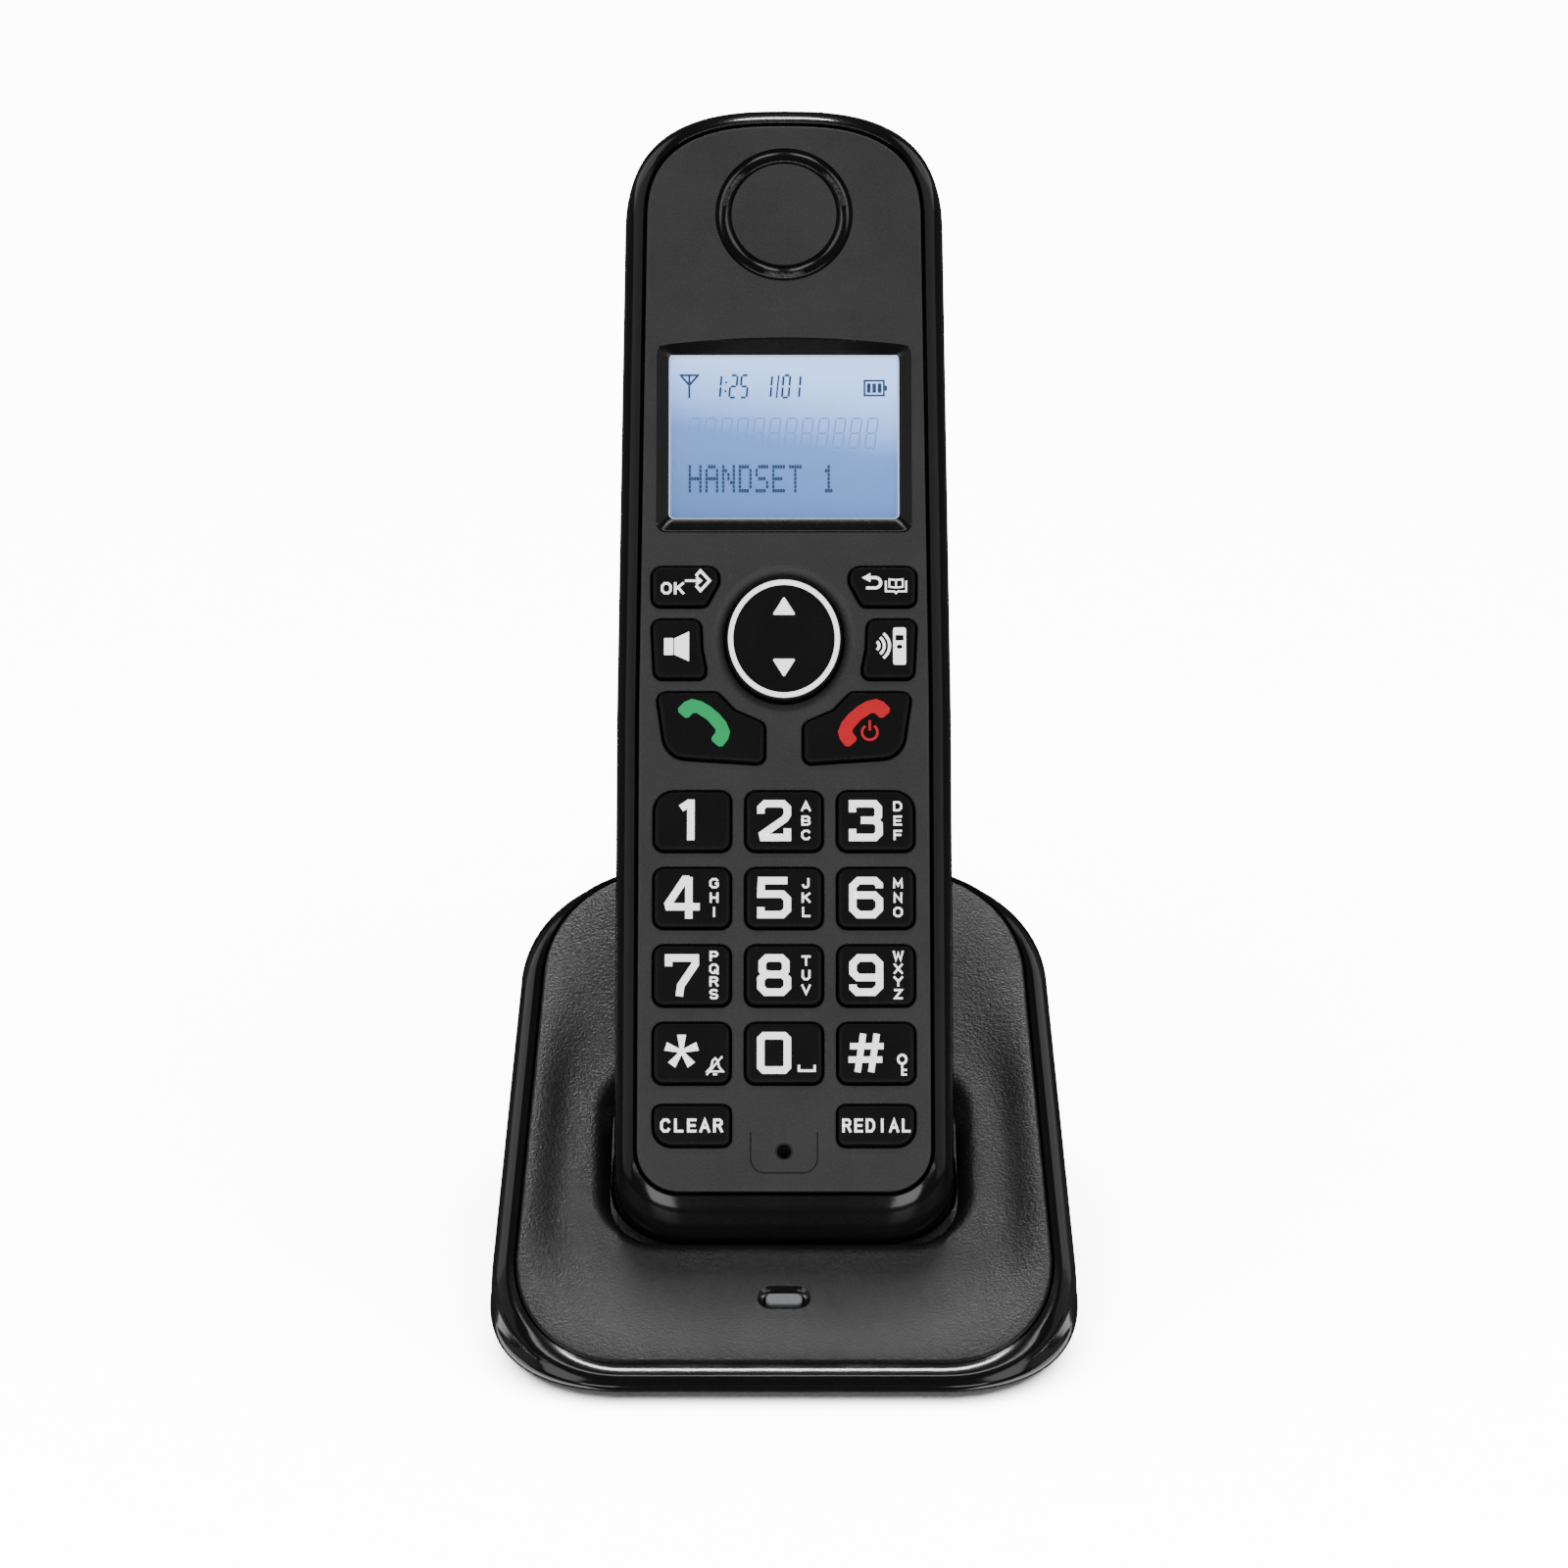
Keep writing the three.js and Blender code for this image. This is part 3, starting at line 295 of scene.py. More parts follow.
def rectangle(x0, x1, y0, y1, radius, steps=6):
    return rounded([(x0, y0, radius), (x1, y0, radius), (x1, y1, radius), (x0, y1, radius)], steps)


def ellipse(x, y, half_x, half_y, sides=64):
    angles = [2 * math.pi * i / sides for i in range(sides)]
    return [(x + half_x * math.cos(a), y + half_y * math.sin(a)) for a in angles]


def mirrored(corners):
    return [(-x, y, r) for x, y, r in reversed(corners)]


def quarter(half_width, length, power, steps):
    """A quarter of a squared ellipse, from the right round to the top."""
    angles = [math.pi / 2 * i / steps for i in range(steps + 1)]
    return [
        (half_width * math.cos(a) ** (2 / power), length * math.sin(a) ** (2 / power)) for a in angles
    ]


def handset_outline(side, top, bottom):
    half = HAND_HALF - side
    chin = HAND_BOTTOM + bottom
    corner = CHIN_CORNER - 1.2 * max(side, 0)
    right = [((half - corner) * i / 10, chin) for i in range(11)]
    for i in range(1, 13):
        angle = math.pi / 2 * i / 12
        right.append((half - corner + corner * math.sin(angle), chin + corner * (1 - math.cos(angle))))
    right += [(half, chin + corner + (TAPER_START - chin - corner) * i / 5) for i in range(1, 6)]
    end_start = HAND_TOP - TOP_END
    for i in range(1, 6):
        right.append((half - EAR_TAPER * i / 6, TAPER_START + (end_start - TAPER_START) * i / 6))
    right += [(x, end_start + y) for x, y in quarter(half - EAR_TAPER, TOP_END - top, TOP_POWER, 22)]
    return right + [(-x, y) for x, y in reversed(right[1:-1])]


def base_outline(inset):
    half = BASE_HALF - inset
    front = (FRONT_CORNER[0] - inset, FRONT_CORNER[1] - inset)
    back = (BACK_CORNER[0] - inset, BACK_CORNER[1] - inset)
    start_y, end_y = -(BASE_FRONT - FRONT_CORNER[1]), BASE_BACK - BACK_CORNER[1]
    right = [((half - front[0]) * i / 8, -BASE_FRONT + inset) for i in range(8)]
    right += [(half - front[0] + x, start_y - y) for x, y in reversed(quarter(*front, 2.1, 20))]
    for i in range(1, 8):
        right.append((half - BACK_TAPER * i / 8, start_y + (end_y - start_y) * i / 8))
    right += [(half - BACK_TAPER - back[0] + x, end_y + y) for x, y in quarter(*back, 2.1, 20)]
    for i in range(1, 8):
        right.append(((half - BACK_TAPER - back[0]) * (1 - i / 8), BASE_BACK - inset))
    return right + [(0, BASE_BACK - inset)] + [(-x, y) for x, y in reversed(right[1:])]


def deck_z(y):
    return DECK_HEIGHT + DECK_SLOPE * y


def depth(y):
    return DEPTH_AT_FOOT + DEPTH_GROWTH * y


# ------------------------------------------------------------------ meshes
def linked(name, data):
    thing = bpy.data.objects.new(name, data)
    bpy.context.collection.objects.link(thing)
    return thing


def make(name, points, faces, kinds, where=None):
    """A mesh object from points in millimetres; its faces take the first of its kinds of material."""
    mesh = bpy.data.meshes.new(name)
    matrix = where or Matrix.Identity(4)
    mesh.from_pydata([matrix @ Vector(p) for p in points], [], faces)
    mesh.validate()
    for kind in kinds:
        mesh.materials.append(MATERIALS[kind])
    return linked(name, mesh)


def ring_faces(rings, count, closed=False):
    faces = []
    for r in range(rings if closed else rings - 1):
        for i in range(count):
            this, ahead, after = r * count, (r + 1) % rings * count, (i + 1) % count
            faces.append((this + i, this + after, ahead + after, ahead + i))
    return faces


def loft(name, rings, kinds, where=None):
    """A closed body through rings of (x, y, z), each counterclockwise from above and above the last."""
    count = len(rings[0])
    points = [p for ring in rings for p in ring]
    faces = ring_faces(len(rings), count)
    faces.append(tuple(reversed(range(count))))
    faces.append(tuple(range((len(rings) - 1) * count, len(rings) * count)))
    return make(name, points, faces, kinds, where)


def stack(name, outline, steps, kinds, where=None):
    """A body from one outline, grown outwards by each step's first value at its second, the height."""
    rings = [[(x, y, z) for x, y in offset(outline, grow)] for grow, z in steps]
    return loft(name, rings, kinds, where)


def rounded_top(radius, top, steps=5):
    """Stack steps of a quarter-round top edge."""
    angles = [math.pi / 2 * i / steps for i in range(steps + 1)]
    return [(-radius * (1 - math.cos(a)), top - radius + radius * math.sin(a)) for a in angles]


def rounded_foot(radius, bottom, steps=3):
    """Stack steps of a quarter-round bottom edge."""
    angles = [math.pi / 2 * i / steps for i in range(steps + 1)]
    return [(-radius * (1 - math.sin(a)), bottom + radius * (1 - math.cos(a))) for a in angles]


def turned(name, profile, kinds, where=None, sides=48):
    """A body of revolution about z; the profile is (radius, z) from the bottom up."""
    rings = [[(x, y, z) for x, y in ellipse(0, 0, r, r, sides)] for r, z in profile]
    return loft(name, rings, kinds, where)


def box(name, x0, x1, y0, y1, z0, z1, kinds, where=None, radius=0.2):
    return stack(
        name, rectangle(x0, x1, y0, y1, radius, 3),
        rounded_foot(radius, z0) + rounded_top(radius, z1, 3), kinds, where,
    )


def boolean(target, tool, operation="DIFFERENCE"):
    change = target.modifiers.new("change", "BOOLEAN")
    change.operation = operation
    change.object = tool
    change.solver = "MANIFOLD"
    change.material_mode = "TRANSFER"
    graph = bpy.context.evaluated_depsgraph_get()
    mesh = bpy.data.meshes.new_from_object(target.evaluated_get(graph))
    old = target.data
    target.modifiers.clear()
    target.data = mesh
    bpy.data.meshes.remove(old)
    bpy.data.objects.remove(tool)


def cut(target, *tools):
    for tool in tools:
        boolean(target, tool)


def bore(target, name, x, y, radius, low, high, sides=24):
    """Cuts a straight round hole, square to the piece's own plane."""
    cut(target, stack(name, ellipse(x, y, radius, radius, sides), [(0, low), (0, high)], ["inner"]))


def finish(piece, kind, body, *nodes, angle=32):
    """Places a piece drawn in its body's own frame, smooths it, hangs it on its body, and hides the parts it
    stands for.
    """
    piece.data.transform(BASE_FRAME if body == "base" else FACE_FRAME)
    piece.data.transform(Matrix.Scale(MM, 4))
    for face in piece.data.polygons:
        face.use_smooth = True
    piece.data.set_sharp_from_angle(angle=math.radians(angle))
    weights = piece.modifiers.new("normals", "WEIGHTED_NORMAL")
    weights.keep_sharp = True
    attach(piece, body)
    if nodes:
        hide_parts(*nodes)


# ------------------------------------------------------------------ handset housing
def handset_ring(side, top, bottom, share, extra):
    return [(x, y, -share * depth(y) - extra) for x, y in handset_outline(side, top, bottom)]


def smooth_rings(stations, steps):
    """Catmull-Rom rows between stations, held inside the stations' own largest and smallest values."""
    rows = []
    last = len(stations) - 1
    for i in range(last):
        around = [stations[max(0, i - 1)], stations[i], stations[i + 1], stations[min(last, i + 2)]]
        for k in range(steps):
            t = k / steps
            row = []
            for a, b, c, d in zip(*around):
                value = 0.5 * (
                    2 * b + (c - a) * t + (2 * a - 5 * b + 4 * c - d) * t * t
                    + (3 * b - a - 3 * c + d) * t ** 3
                )
                row.append(min(max(value, min(b, c)), max(b, c)))
            rows.append(tuple(row))
    return rows + [stations[last]]


BODY_STATIONS = [
    (6.5, 9, 8, 1, 0), (4.2, 6.4, 5.6, 0.965, 0), (2.2, 4, 3.4, 0.9, 0), (0.5, 1.2, 1, 0.75, 0),
    (0.01, 0.21, 0.01, 0.55, 0), (0.01, 0.01, 0.6, 0, 8), (0.4, 0.5, 2.2, 0, 4.5),
    (1.2, 1.4, 4.4, 0, 2.2), (2.1, 2.5, 6.2, 0, 0.95), (2.85, 3.5, 7.9, 0, 0.3),
]
CAVITY_STATIONS = [
    (5.6, 8, 7.5, 1, -1.8), (3, 4.6, 4.2, 0.82, 0), (1.7, 2, 2, 0.5, 0), (1.8, 2.2, 3, 0, 8),
    (2.4, 2.6, 4.4, 0, 5), (3.1, 3.8, 7.4, 0, 3.4),
]


def plate_steps(grow, steps):
    side, top, bottom = PLATE_INSET
    return [
        [(x, y, z) for x, y in handset_outline(side - grow - out, top - grow - out, bottom - grow - out)]
        for out, z in steps
    ]


def back_slab(name, outline, under, over, kinds):
    """A slab that follows the handset's back between two heights above it."""
    rings = [[(x, y, -depth(y) + z) for x, y in outline] for z in (under, over)]
    return loft(name, rings, kinds)


def rear_housing():
    body = loft(
        "handset_shell", [handset_ring(*row) for row in smooth_rings(BODY_STATIONS, 5)],
        ["gloss", "inner", "groove"],
    )
    hollow = loft("hollow", [handset_ring(*row) for row in CAVITY_STATIONS], ["inner"])
    # The seat's walls take the groove material: painted shade in the seam round the face plate.
    front = loft("front", plate_steps(GAP, [(0, -3.6), (0, -0.75), (0.28, -0.3), (0.4, 2)]), ["groove"])
    cut(body, hollow, front)
    door = rectangle(DOOR[0] - GAP, DOOR[1] + GAP, DOOR[2] - GAP, DOOR[3] + GAP, 2.8)
    cut(body, back_slab("door_way", door, -2, 4, ["inner"]))
    for i in range(-2, 3):
        middle = GRILLE_Y + i * GRILLE_PITCH
        slot = rectangle(-6, 6, middle - 0.6, middle + 0.6, 0.55, 4)
        cut(body, back_slab("grille", slot, -2, 4, ["inner"]))
    finger = ellipse(0, SCOOP_Y, 7, 2.6, 40)
    scoop = loft(
        "scoop",
        [[(x, y, -depth(y) - 1.5) for x, y in offset(finger, 0.7)], [(x, y, -depth(y)) for x, y in finger],
         [(x, y, -depth(y) + 0.8) for x, y in offset(finger, -0.6)]],
        ["gloss"],
    )
    cut(body, scoop)
    for side in (-1, 1):
        pad = PAD_X * side
        cut(body, box("pad_way", pad - 2.7, pad + 2.7, -2.8, 2, -11.9, -8.1, ["inner"]))
        x, y = HAND_SCREW[0] * side, HAND_SCREW[1]
        back = -depth(y)
        funnel = [(0.35, back - 1), (0.35, back), (0, back + 0.3), (0, back + 1)]
        well = stack("screw_well", ellipse(x, y, SCREW_HEAD_HOLE, SCREW_HEAD_HOLE, 40), funnel, ["inner"])
        cut(body, well)
        bore(body, "shank_way", x, y, SCREW_HOLE, back, back + 4)
    finish(body, "gloss", "handset", "handset_rear_housing", angle=38)


def battery_cover():
    outline = rectangle(*DOOR, 2.5, 8)
    rings = []
    for out, z in rounded_foot(0.45, 0.06, 4) + [(0, 1.5)]:
        rings.append([(x, y, -depth(y) + z) for x, y in offset(outline, out)])
    panel = loft("battery_cover_panel", rings, ["gloss"])
    for i in range(5):
        y = 107.8 + 0.9 * i
        ridge = rectangle(-5 + 0.4 * i, 5 - 0.4 * i, y, y + 0.45, 0.2, 3)
        cut(panel, back_slab("grip", ridge, -1, 0.35, ["gloss"]))
    arrow = rounded([(-1.6, 104.5, 0.15), (0, 101.9, 0.15), (1.6, 104.5, 0.15)], 3)
    cut(panel, back_slab("arrow", arrow, -1, 0.3, ["gloss"]))
    finish(panel, "gloss", "battery_door", "battery_cover", angle=38)


# ------------------------------------------------------------------ keys
OK_CORNERS = [
    (-18.95, 89.45, 1.4), (-11, 89.45, 1.3), (-9.1, 93, 1.2), (-9.1, 95.6, 1.7), (-19.05, 95.6, 1.6),
]
SPEAKER_CORNERS = [
    (-18.6, 78.95, 1.4), (-10.95, 78.95, 1.2), (-10.95, 80.8, 1), (-11.5, 83.5, 1.2),
    (-11.7, 87.95, 1.4), (-19.05, 87.95, 1.4),
]
TALK_CORNERS = [
    (-16.9, 67.6, 3.6), (-2.55, 66.65, 1.3), (-2.55, 72.85, 1.4), (-6.9, 74.75, 1.2),
    (-9.4, 77.4, 1), (-18.35, 77.4, 1.4),
]
CLEAR_CORNERS = [(-18.5, 12.4, 2.8), (-7.3, 12.4, 1.3), (-7.3, 18.55, 1.3), (-18.5, 18.55, 1.3)]
DIAL_NAMES = ["1", "2", "3", "4", "5", "6", "7", "8", "9", "star", "0", "hash"]


def dial_place(i):
    return ((i % 3 - 1) * 12.95, 58.65 - (i // 3) * 11)


def key_openings():
    """Every key's opening in the face plate; the function keys come in mirrored pairs."""
    shapes = {}
    for left, right, corners, steps in (
        ("key_ok", "key_back", OK_CORNERS, 6), ("key_speaker", "key_intercom", SPEAKER_CORNERS, 6),
        ("key_talk", "key_end", TALK_CORNERS, 8), ("key_clear", "key_redial", CLEAR_CORNERS, 6),
    ):
        shapes[left] = rounded(corners, steps)
        shapes[right] = rounded(mirrored(corners), steps)
    for i, name in enumerate(DIAL_NAMES):
        x, y = dial_place(i)
        left, right = (3 if i == 0 else 1.6), (3 if i == 2 else 1.6)
        shapes["key_" + name] = rounded([
            (x - 5.6, y - 4.475, 1.6), (x + 5.6, y - 4.475, 1.6), (x + 5.6, y + 4.475, right),
            (x - 5.6, y + 4.475, left),
        ])
    return shapes


def key_cap(name, opening, body):
    """A key with a flange under the face plate, a rounded edge and a faintly domed top."""
    outline = offset(opening, -GAP)
    top = KEY_PROUD - 0.05
    edge = 0.34
    steps = [(0.6, -2.5), (0.6, -1.9), (0, -1.85), (0, -0.4)]
    steps += rounded_top(edge, top - 0.05)
    steps += [(-edge - 0.15, top - 0.02), (-edge - 0.3, top)]
    cap = stack(name + "_cap", outline, steps, ["key"])
    finish(cap, "key", body, name, angle=50)


# ------------------------------------------------------------------ face plate
def ring_band(name, y, profile, kinds, start=None, stop=None):
    """A ring about the face's normal from a closed (radius, z) profile, or an arc of one."""
    whole = start is None
    if whole:
        angles = [2 * math.pi * i / 96 for i in range(96)]
    else:
        span = int(96 * (stop - start) / 360)
        angles = [math.radians(start + (stop - start) * i / span) for i in range(span + 1)]
    count = len(profile)
    points = [(r * math.cos(a), y + r * math.sin(a), z) for a in angles for r, z in profile]
    faces = ring_faces(len(angles), count, whole)
    if not whole:
        faces.append(tuple(range(count)))
        faces.append(tuple(reversed(range(span * count, span * count + count))))
    piece = make(name, points, faces, kinds)
    outward(piece)
    return piece


def outward(piece):
    """Turns every face of a closed mesh to point out."""
    shape = bmesh.new()
    shape.from_mesh(piece.data)
    bmesh.ops.recalc_face_normals(shape, faces=shape.faces)
    if shape.calc_volume(signed=True) < 0:
        bmesh.ops.reverse_faces(shape, faces=shape.faces)
    shape.to_mesh(piece.data)
    shape.free()


def lcd_outline(half, bottom, top, crown, corner):
    """A window outline whose top edge arches up by crown in the middle."""
    steps = 24
    arch = []
    for i in range(steps + 1):
        t = 1 - 2 * i / steps
        arch.append((t * (half - corner * 0.35), top + crown * (1 - t * t)))
    low = [p for p in rectangle(-half, half, bottom, top, corner) if p[1] < (bottom + top) / 2]
    left_low = [p for p in low if p[0] < 0]
    right_low = [p for p in low if p[0] > 0]
    right_high = [(half, top - corner), (half - corner * 0.1, top - corner * 0.4)]
    left_high = [(-x, y) for x, y in reversed(right_high)]
    return left_low + right_low + right_high + arch + left_high


def face_plate(openings):
    steps = [(0, -1.6), (0, -0.34)] + rounded_top(0.34, 0)[1:]
    plate = loft("face_panel", plate_steps(0, steps), ["face", "bezel", "inner"])
    soft_edge = [(0, -3), (0, -0.28), (0.08, -0.1), (0.26, 0), (0.4, 0.2)]
    for opening in openings.values():
        cut(plate, stack("key_way", opening, soft_edge, ["face"]))
    nav = ellipse(0, NAV_Y, NAV_HALF[0], NAV_HALF[1], 96)
    moat = [
        (0, -3), (0, -0.95), (0.12, -0.8), (0.5, -0.55), (1.0, -0.22), (1.45, -0.04), (1.75, 0), (1.75, 0.3),
    ]
    cut(plate, stack("nav_way", nav, moat, ["face"]))
    middle, half = (EAR_INNER + EAR_OUTER) / 2, (EAR_OUTER - EAR_INNER) / 2 + 0.12
    groove = [(middle + half, 0.4), (middle - half, 0.4)]
    groove += [(middle + px, py) for px, py in arc(0, 0, half, 1.0, 180, 360, 10)]
    cut(plate, ring_band("ear_way", EAR_Y, groove, ["bezel"]))
    near, far = EAR_INNER + 0.6, EAR_OUTER - 0.7
    for middle in (30, 150, 270):
        slot = [(near, -2), (near, 0), (far, 0), (far, -2)]
        cut(plate, ring_band("ear_slot", EAR_Y, slot, ["inner"], middle - 20, middle + 20))
    outer = lcd_outline(LCD_HALF + 1.75, LCD_BOTTOM - 2.3, LCD_TOP + 1.1, 1.15, 1.4)
    inner = lcd_outline(LCD_HALF, LCD_BOTTOM, LCD_TOP, 0.02, 0.8)
    mid = [((a[0] * 2 + b[0]) / 3, (a[1] * 2 + b[1]) / 3) for a, b in zip(inner, outer)]
    wide = [((a[0] + b[0] * 5) / 6, (a[1] + b[1] * 5) / 6) for a, b in zip(inner, outer)]
    rings = []
    for line, z in ((inner, -3), (inner, -1.3), (mid, -0.95), (wide, -0.22), (outer, 0), (outer, 0.5)):
        rings.append([(x, y, z) for x, y in line])
    cut(plate, loft("lcd_way", rings, ["bezel"]))
    mouth = [(0, -3), (0, -0.35), (0.12, -0.12), (0.35, 0), (0.35, 0.4)]
    cut(plate, stack("mic_way", ellipse(0, MIC_Y, 0.9, 0.9, 32), mouth, ["inner"]))
    trap = [(-4.67, 14.6), (-4.67, 10.9)] + arc(-2.67, 10.9, 2, 2, 180, 270, 8)[1:]
    trap += arc(2.67, 10.9, 2, 2, 270, 360, 8) + [(4.67, 14.6)]
    # The groove round the microphone takes the groove material: painted shade.
    cut(plate, make("trap_way", *ribbon([trap], 0.14, -0.12, 0.5), ["groove"]))
    finish(plate, "face", "handset", "handset_front_housing", angle=34)


# ------------------------------------------------------------------ print
def ribbon(lines, width, z, height=0.04):
    """Flat strokes of one width along open or closed lines, as one mesh's points and faces."""
    points, faces = [], []
    for n, line in enumerate(lines):
        closed = line[0] == line[-1] and len(line) > 3
        path = list(line[:-1]) if closed else list(line)
        top = z + height + 0.0025 * (n % 4)
        sides = ([], [])
        for i, point in enumerate(path):
            before = path[i - 1] if i or closed else None
            after = path[(i + 1) % len(path)] if i + 1 < len(path) or closed else None
            first = unit(sub(point, before)) if before else unit(sub(after, point))
            second = unit(sub(after, point)) if after else first
            normal = unit((-first[1] - second[1], first[0] + second[0]))
            reach = width / 2 / max(0.45, normal[0] * -first[1] + normal[1] * first[0])
            sides[0].append((point[0] + normal[0] * reach, point[1] + normal[1] * reach))
            sides[1].append((point[0] - normal[0] * reach, point[1] - normal[1] * reach))
        start = len(points)
        count = len(path)
        for level in (z, top):
            for edge in sides:
                points += [(x, y, level) for x, y in edge]
        low_l, low_r, top_l, top_r = (start + count * k for k in range(4))
        for i in range(count if closed else count - 1):
            j = (i + 1) % count
            faces.append((top_l + i, top_r + i, top_r + j, top_l + j))
            faces.append((low_l + j, low_r + j, low_r + i, low_l + i))
            faces.append((top_l + j, low_l + j, low_l + i, top_l + i))
            faces.append((top_r + i, low_r + i, low_r + j, top_r + j))
        if not closed:
            last = count - 1
            faces.append((top_l, low_l, low_r, top_r))
            faces.append((top_l + last, top_r + last, low_r + last, low_l + last))
    return points, faces


def patch(outline, z, height=0.04):
    """A flat filled shape as points and faces."""
    count = len(outline)
    points = [(x, y, z) for x, y in outline] + [(x, y, z + height) for x, y in outline]
    faces = [tuple(range(count, 2 * count)), tuple(reversed(range(count)))]
    for i in range(count):
        j = (i + 1) % count
        faces.append((i, j, count + j, count + i))
    return points, faces


def gather(*parts):
    points, faces = [], []
    for more_points, more_faces in parts:
        start = len(points)
        points += more_points
        faces += [tuple(i + start for i in face) for face in more_faces]
    return points, faces


def arc(x, y, rx, ry, start, stop, steps=10):
    angles = [math.radians(start + (stop - start) * i / steps) for i in range(steps + 1)]
    return [(x + rx * math.cos(a), y + ry * math.sin(a)) for a in angles]


def placed(lines, x, y, wide=1, high=1):
    return [[(x + px * wide, y + py * high) for px, py in line] for line in lines]


def printed_piece(name, kind, parts, body):
    points, faces = gather(*parts)
    finish(make(name, points, faces, [kind]), kind, body, angle=20)


# ------------------------------------------------------------------ glyphs
# Centre lines in a box of half width 1 and half height 1.
HOOK = [(0.95, 0.5), (0.5, 1), (-0.4, 1), (-0.95, 0.5), (-0.95, -0.5), (-0.4, -1), (0.5, -1)]
HOOP = [
    (-0.4, 1), (0.4, 1), (0.95, 0.5), (0.95, -0.5), (0.4, -1), (-0.4, -1), (-0.95, -0.5), (-0.95, 0.5),
    (-0.4, 1),
]
LETTERS = {
    "A": [[(-1, -1), (0, 1), (1, -1)], [(-0.62, -0.35), (0.62, -0.35)]],
    "B": [[(-0.9, -1), (-0.9, 1), (0.4, 1), (0.8, 0.7), (0.8, 0.3), (0.4, 0), (-0.9, 0)],
          [(0.4, 0), (0.9, -0.3), (0.9, -0.7), (0.45, -1), (-0.9, -1)]],
    "C": [HOOK + [(0.95, -0.5)]],
    "D": [[(-0.9, -1), (-0.9, 1), (0.3, 1), (0.9, 0.45), (0.9, -0.45), (0.3, -1), (-0.9, -1)]],
    "E": [[(0.85, 1), (-0.8, 1), (-0.8, -1), (0.85, -1)], [(-0.8, 0), (0.65, 0)]],
    "F": [[(0.85, 1), (-0.8, 1), (-0.8, -1)], [(-0.8, 0), (0.65, 0)]],
    "G": [HOOK + [(0.95, -0.6), (0.95, -0.05), (0.2, -0.05)]],
    "H": [[(-0.85, 1), (-0.85, -1)], [(0.85, 1), (0.85, -1)], [(-0.85, 0), (0.85, 0)]],
    "I": [[(0, 1), (0, -1)]],
    "J": [[(0.6, 1), (0.6, -0.6), (0.2, -1), (-0.4, -1), (-0.75, -0.5)]],
    "K": [[(-0.85, 1), (-0.85, -1)], [(0.85, 1), (-0.6, -0.05)], [(-0.25, 0.2), (0.9, -1)]],
    "L": [[(-0.75, 1), (-0.75, -1), (0.85, -1)]],
    "M": [[(-1, -1), (-0.95, 1), (0, -0.6), (0.95, 1), (1, -1)]],
    "N": [[(-0.85, -1), (-0.85, 1), (0.85, -1), (0.85, 1)]],
    "O": [HOOP],
    "P": [[(-0.85, -1), (-0.85, 1), (0.4, 1), (0.85, 0.7), (0.85, 0.25), (0.4, -0.05), (-0.85, -0.05)]],
    "Q": [HOOP, [(0.3, -0.45), (1, -1.15)]],
    "R": [[(-0.85, -1), (-0.85, 1), (0.4, 1), (0.85, 0.7), (0.85, 0.3), (0.4, 0), (-0.85, 0)],
          [(0.2, 0), (0.9, -1)]],
    "S": [[(0.85, 0.6), (0.5, 1), (-0.5, 1), (-0.85, 0.65), (-0.85, 0.3), (-0.5, 0.05), (0.5, -0.1),
           (0.85, -0.35), (0.85, -0.7), (0.5, -1), (-0.5, -1), (-0.9, -0.6)]],
    "T": [[(-0.9, 1), (0.9, 1)], [(0, 1), (0, -1)]],
    "U": [[(-0.85, 1), (-0.85, -0.5), (-0.4, -1), (0.4, -1), (0.85, -0.5), (0.85, 1)]],
    "V": [[(-0.95, 1), (0, -1), (0.95, 1)]],
    "W": [[(-1.1, 1), (-0.6, -1), (0, 0.7), (0.6, -1), (1.1, 1)]],
    "X": [[(-0.9, 1), (0.9, -1)], [(-0.9, -1), (0.9, 1)]],
    "Y": [[(-0.95, 1), (0, 0), (0.95, 1)], [(0, 0), (0, -1)]],
    "Z": [[(-0.85, 1), (0.85, 1), (-0.85, -1), (0.85, -1)]],
}
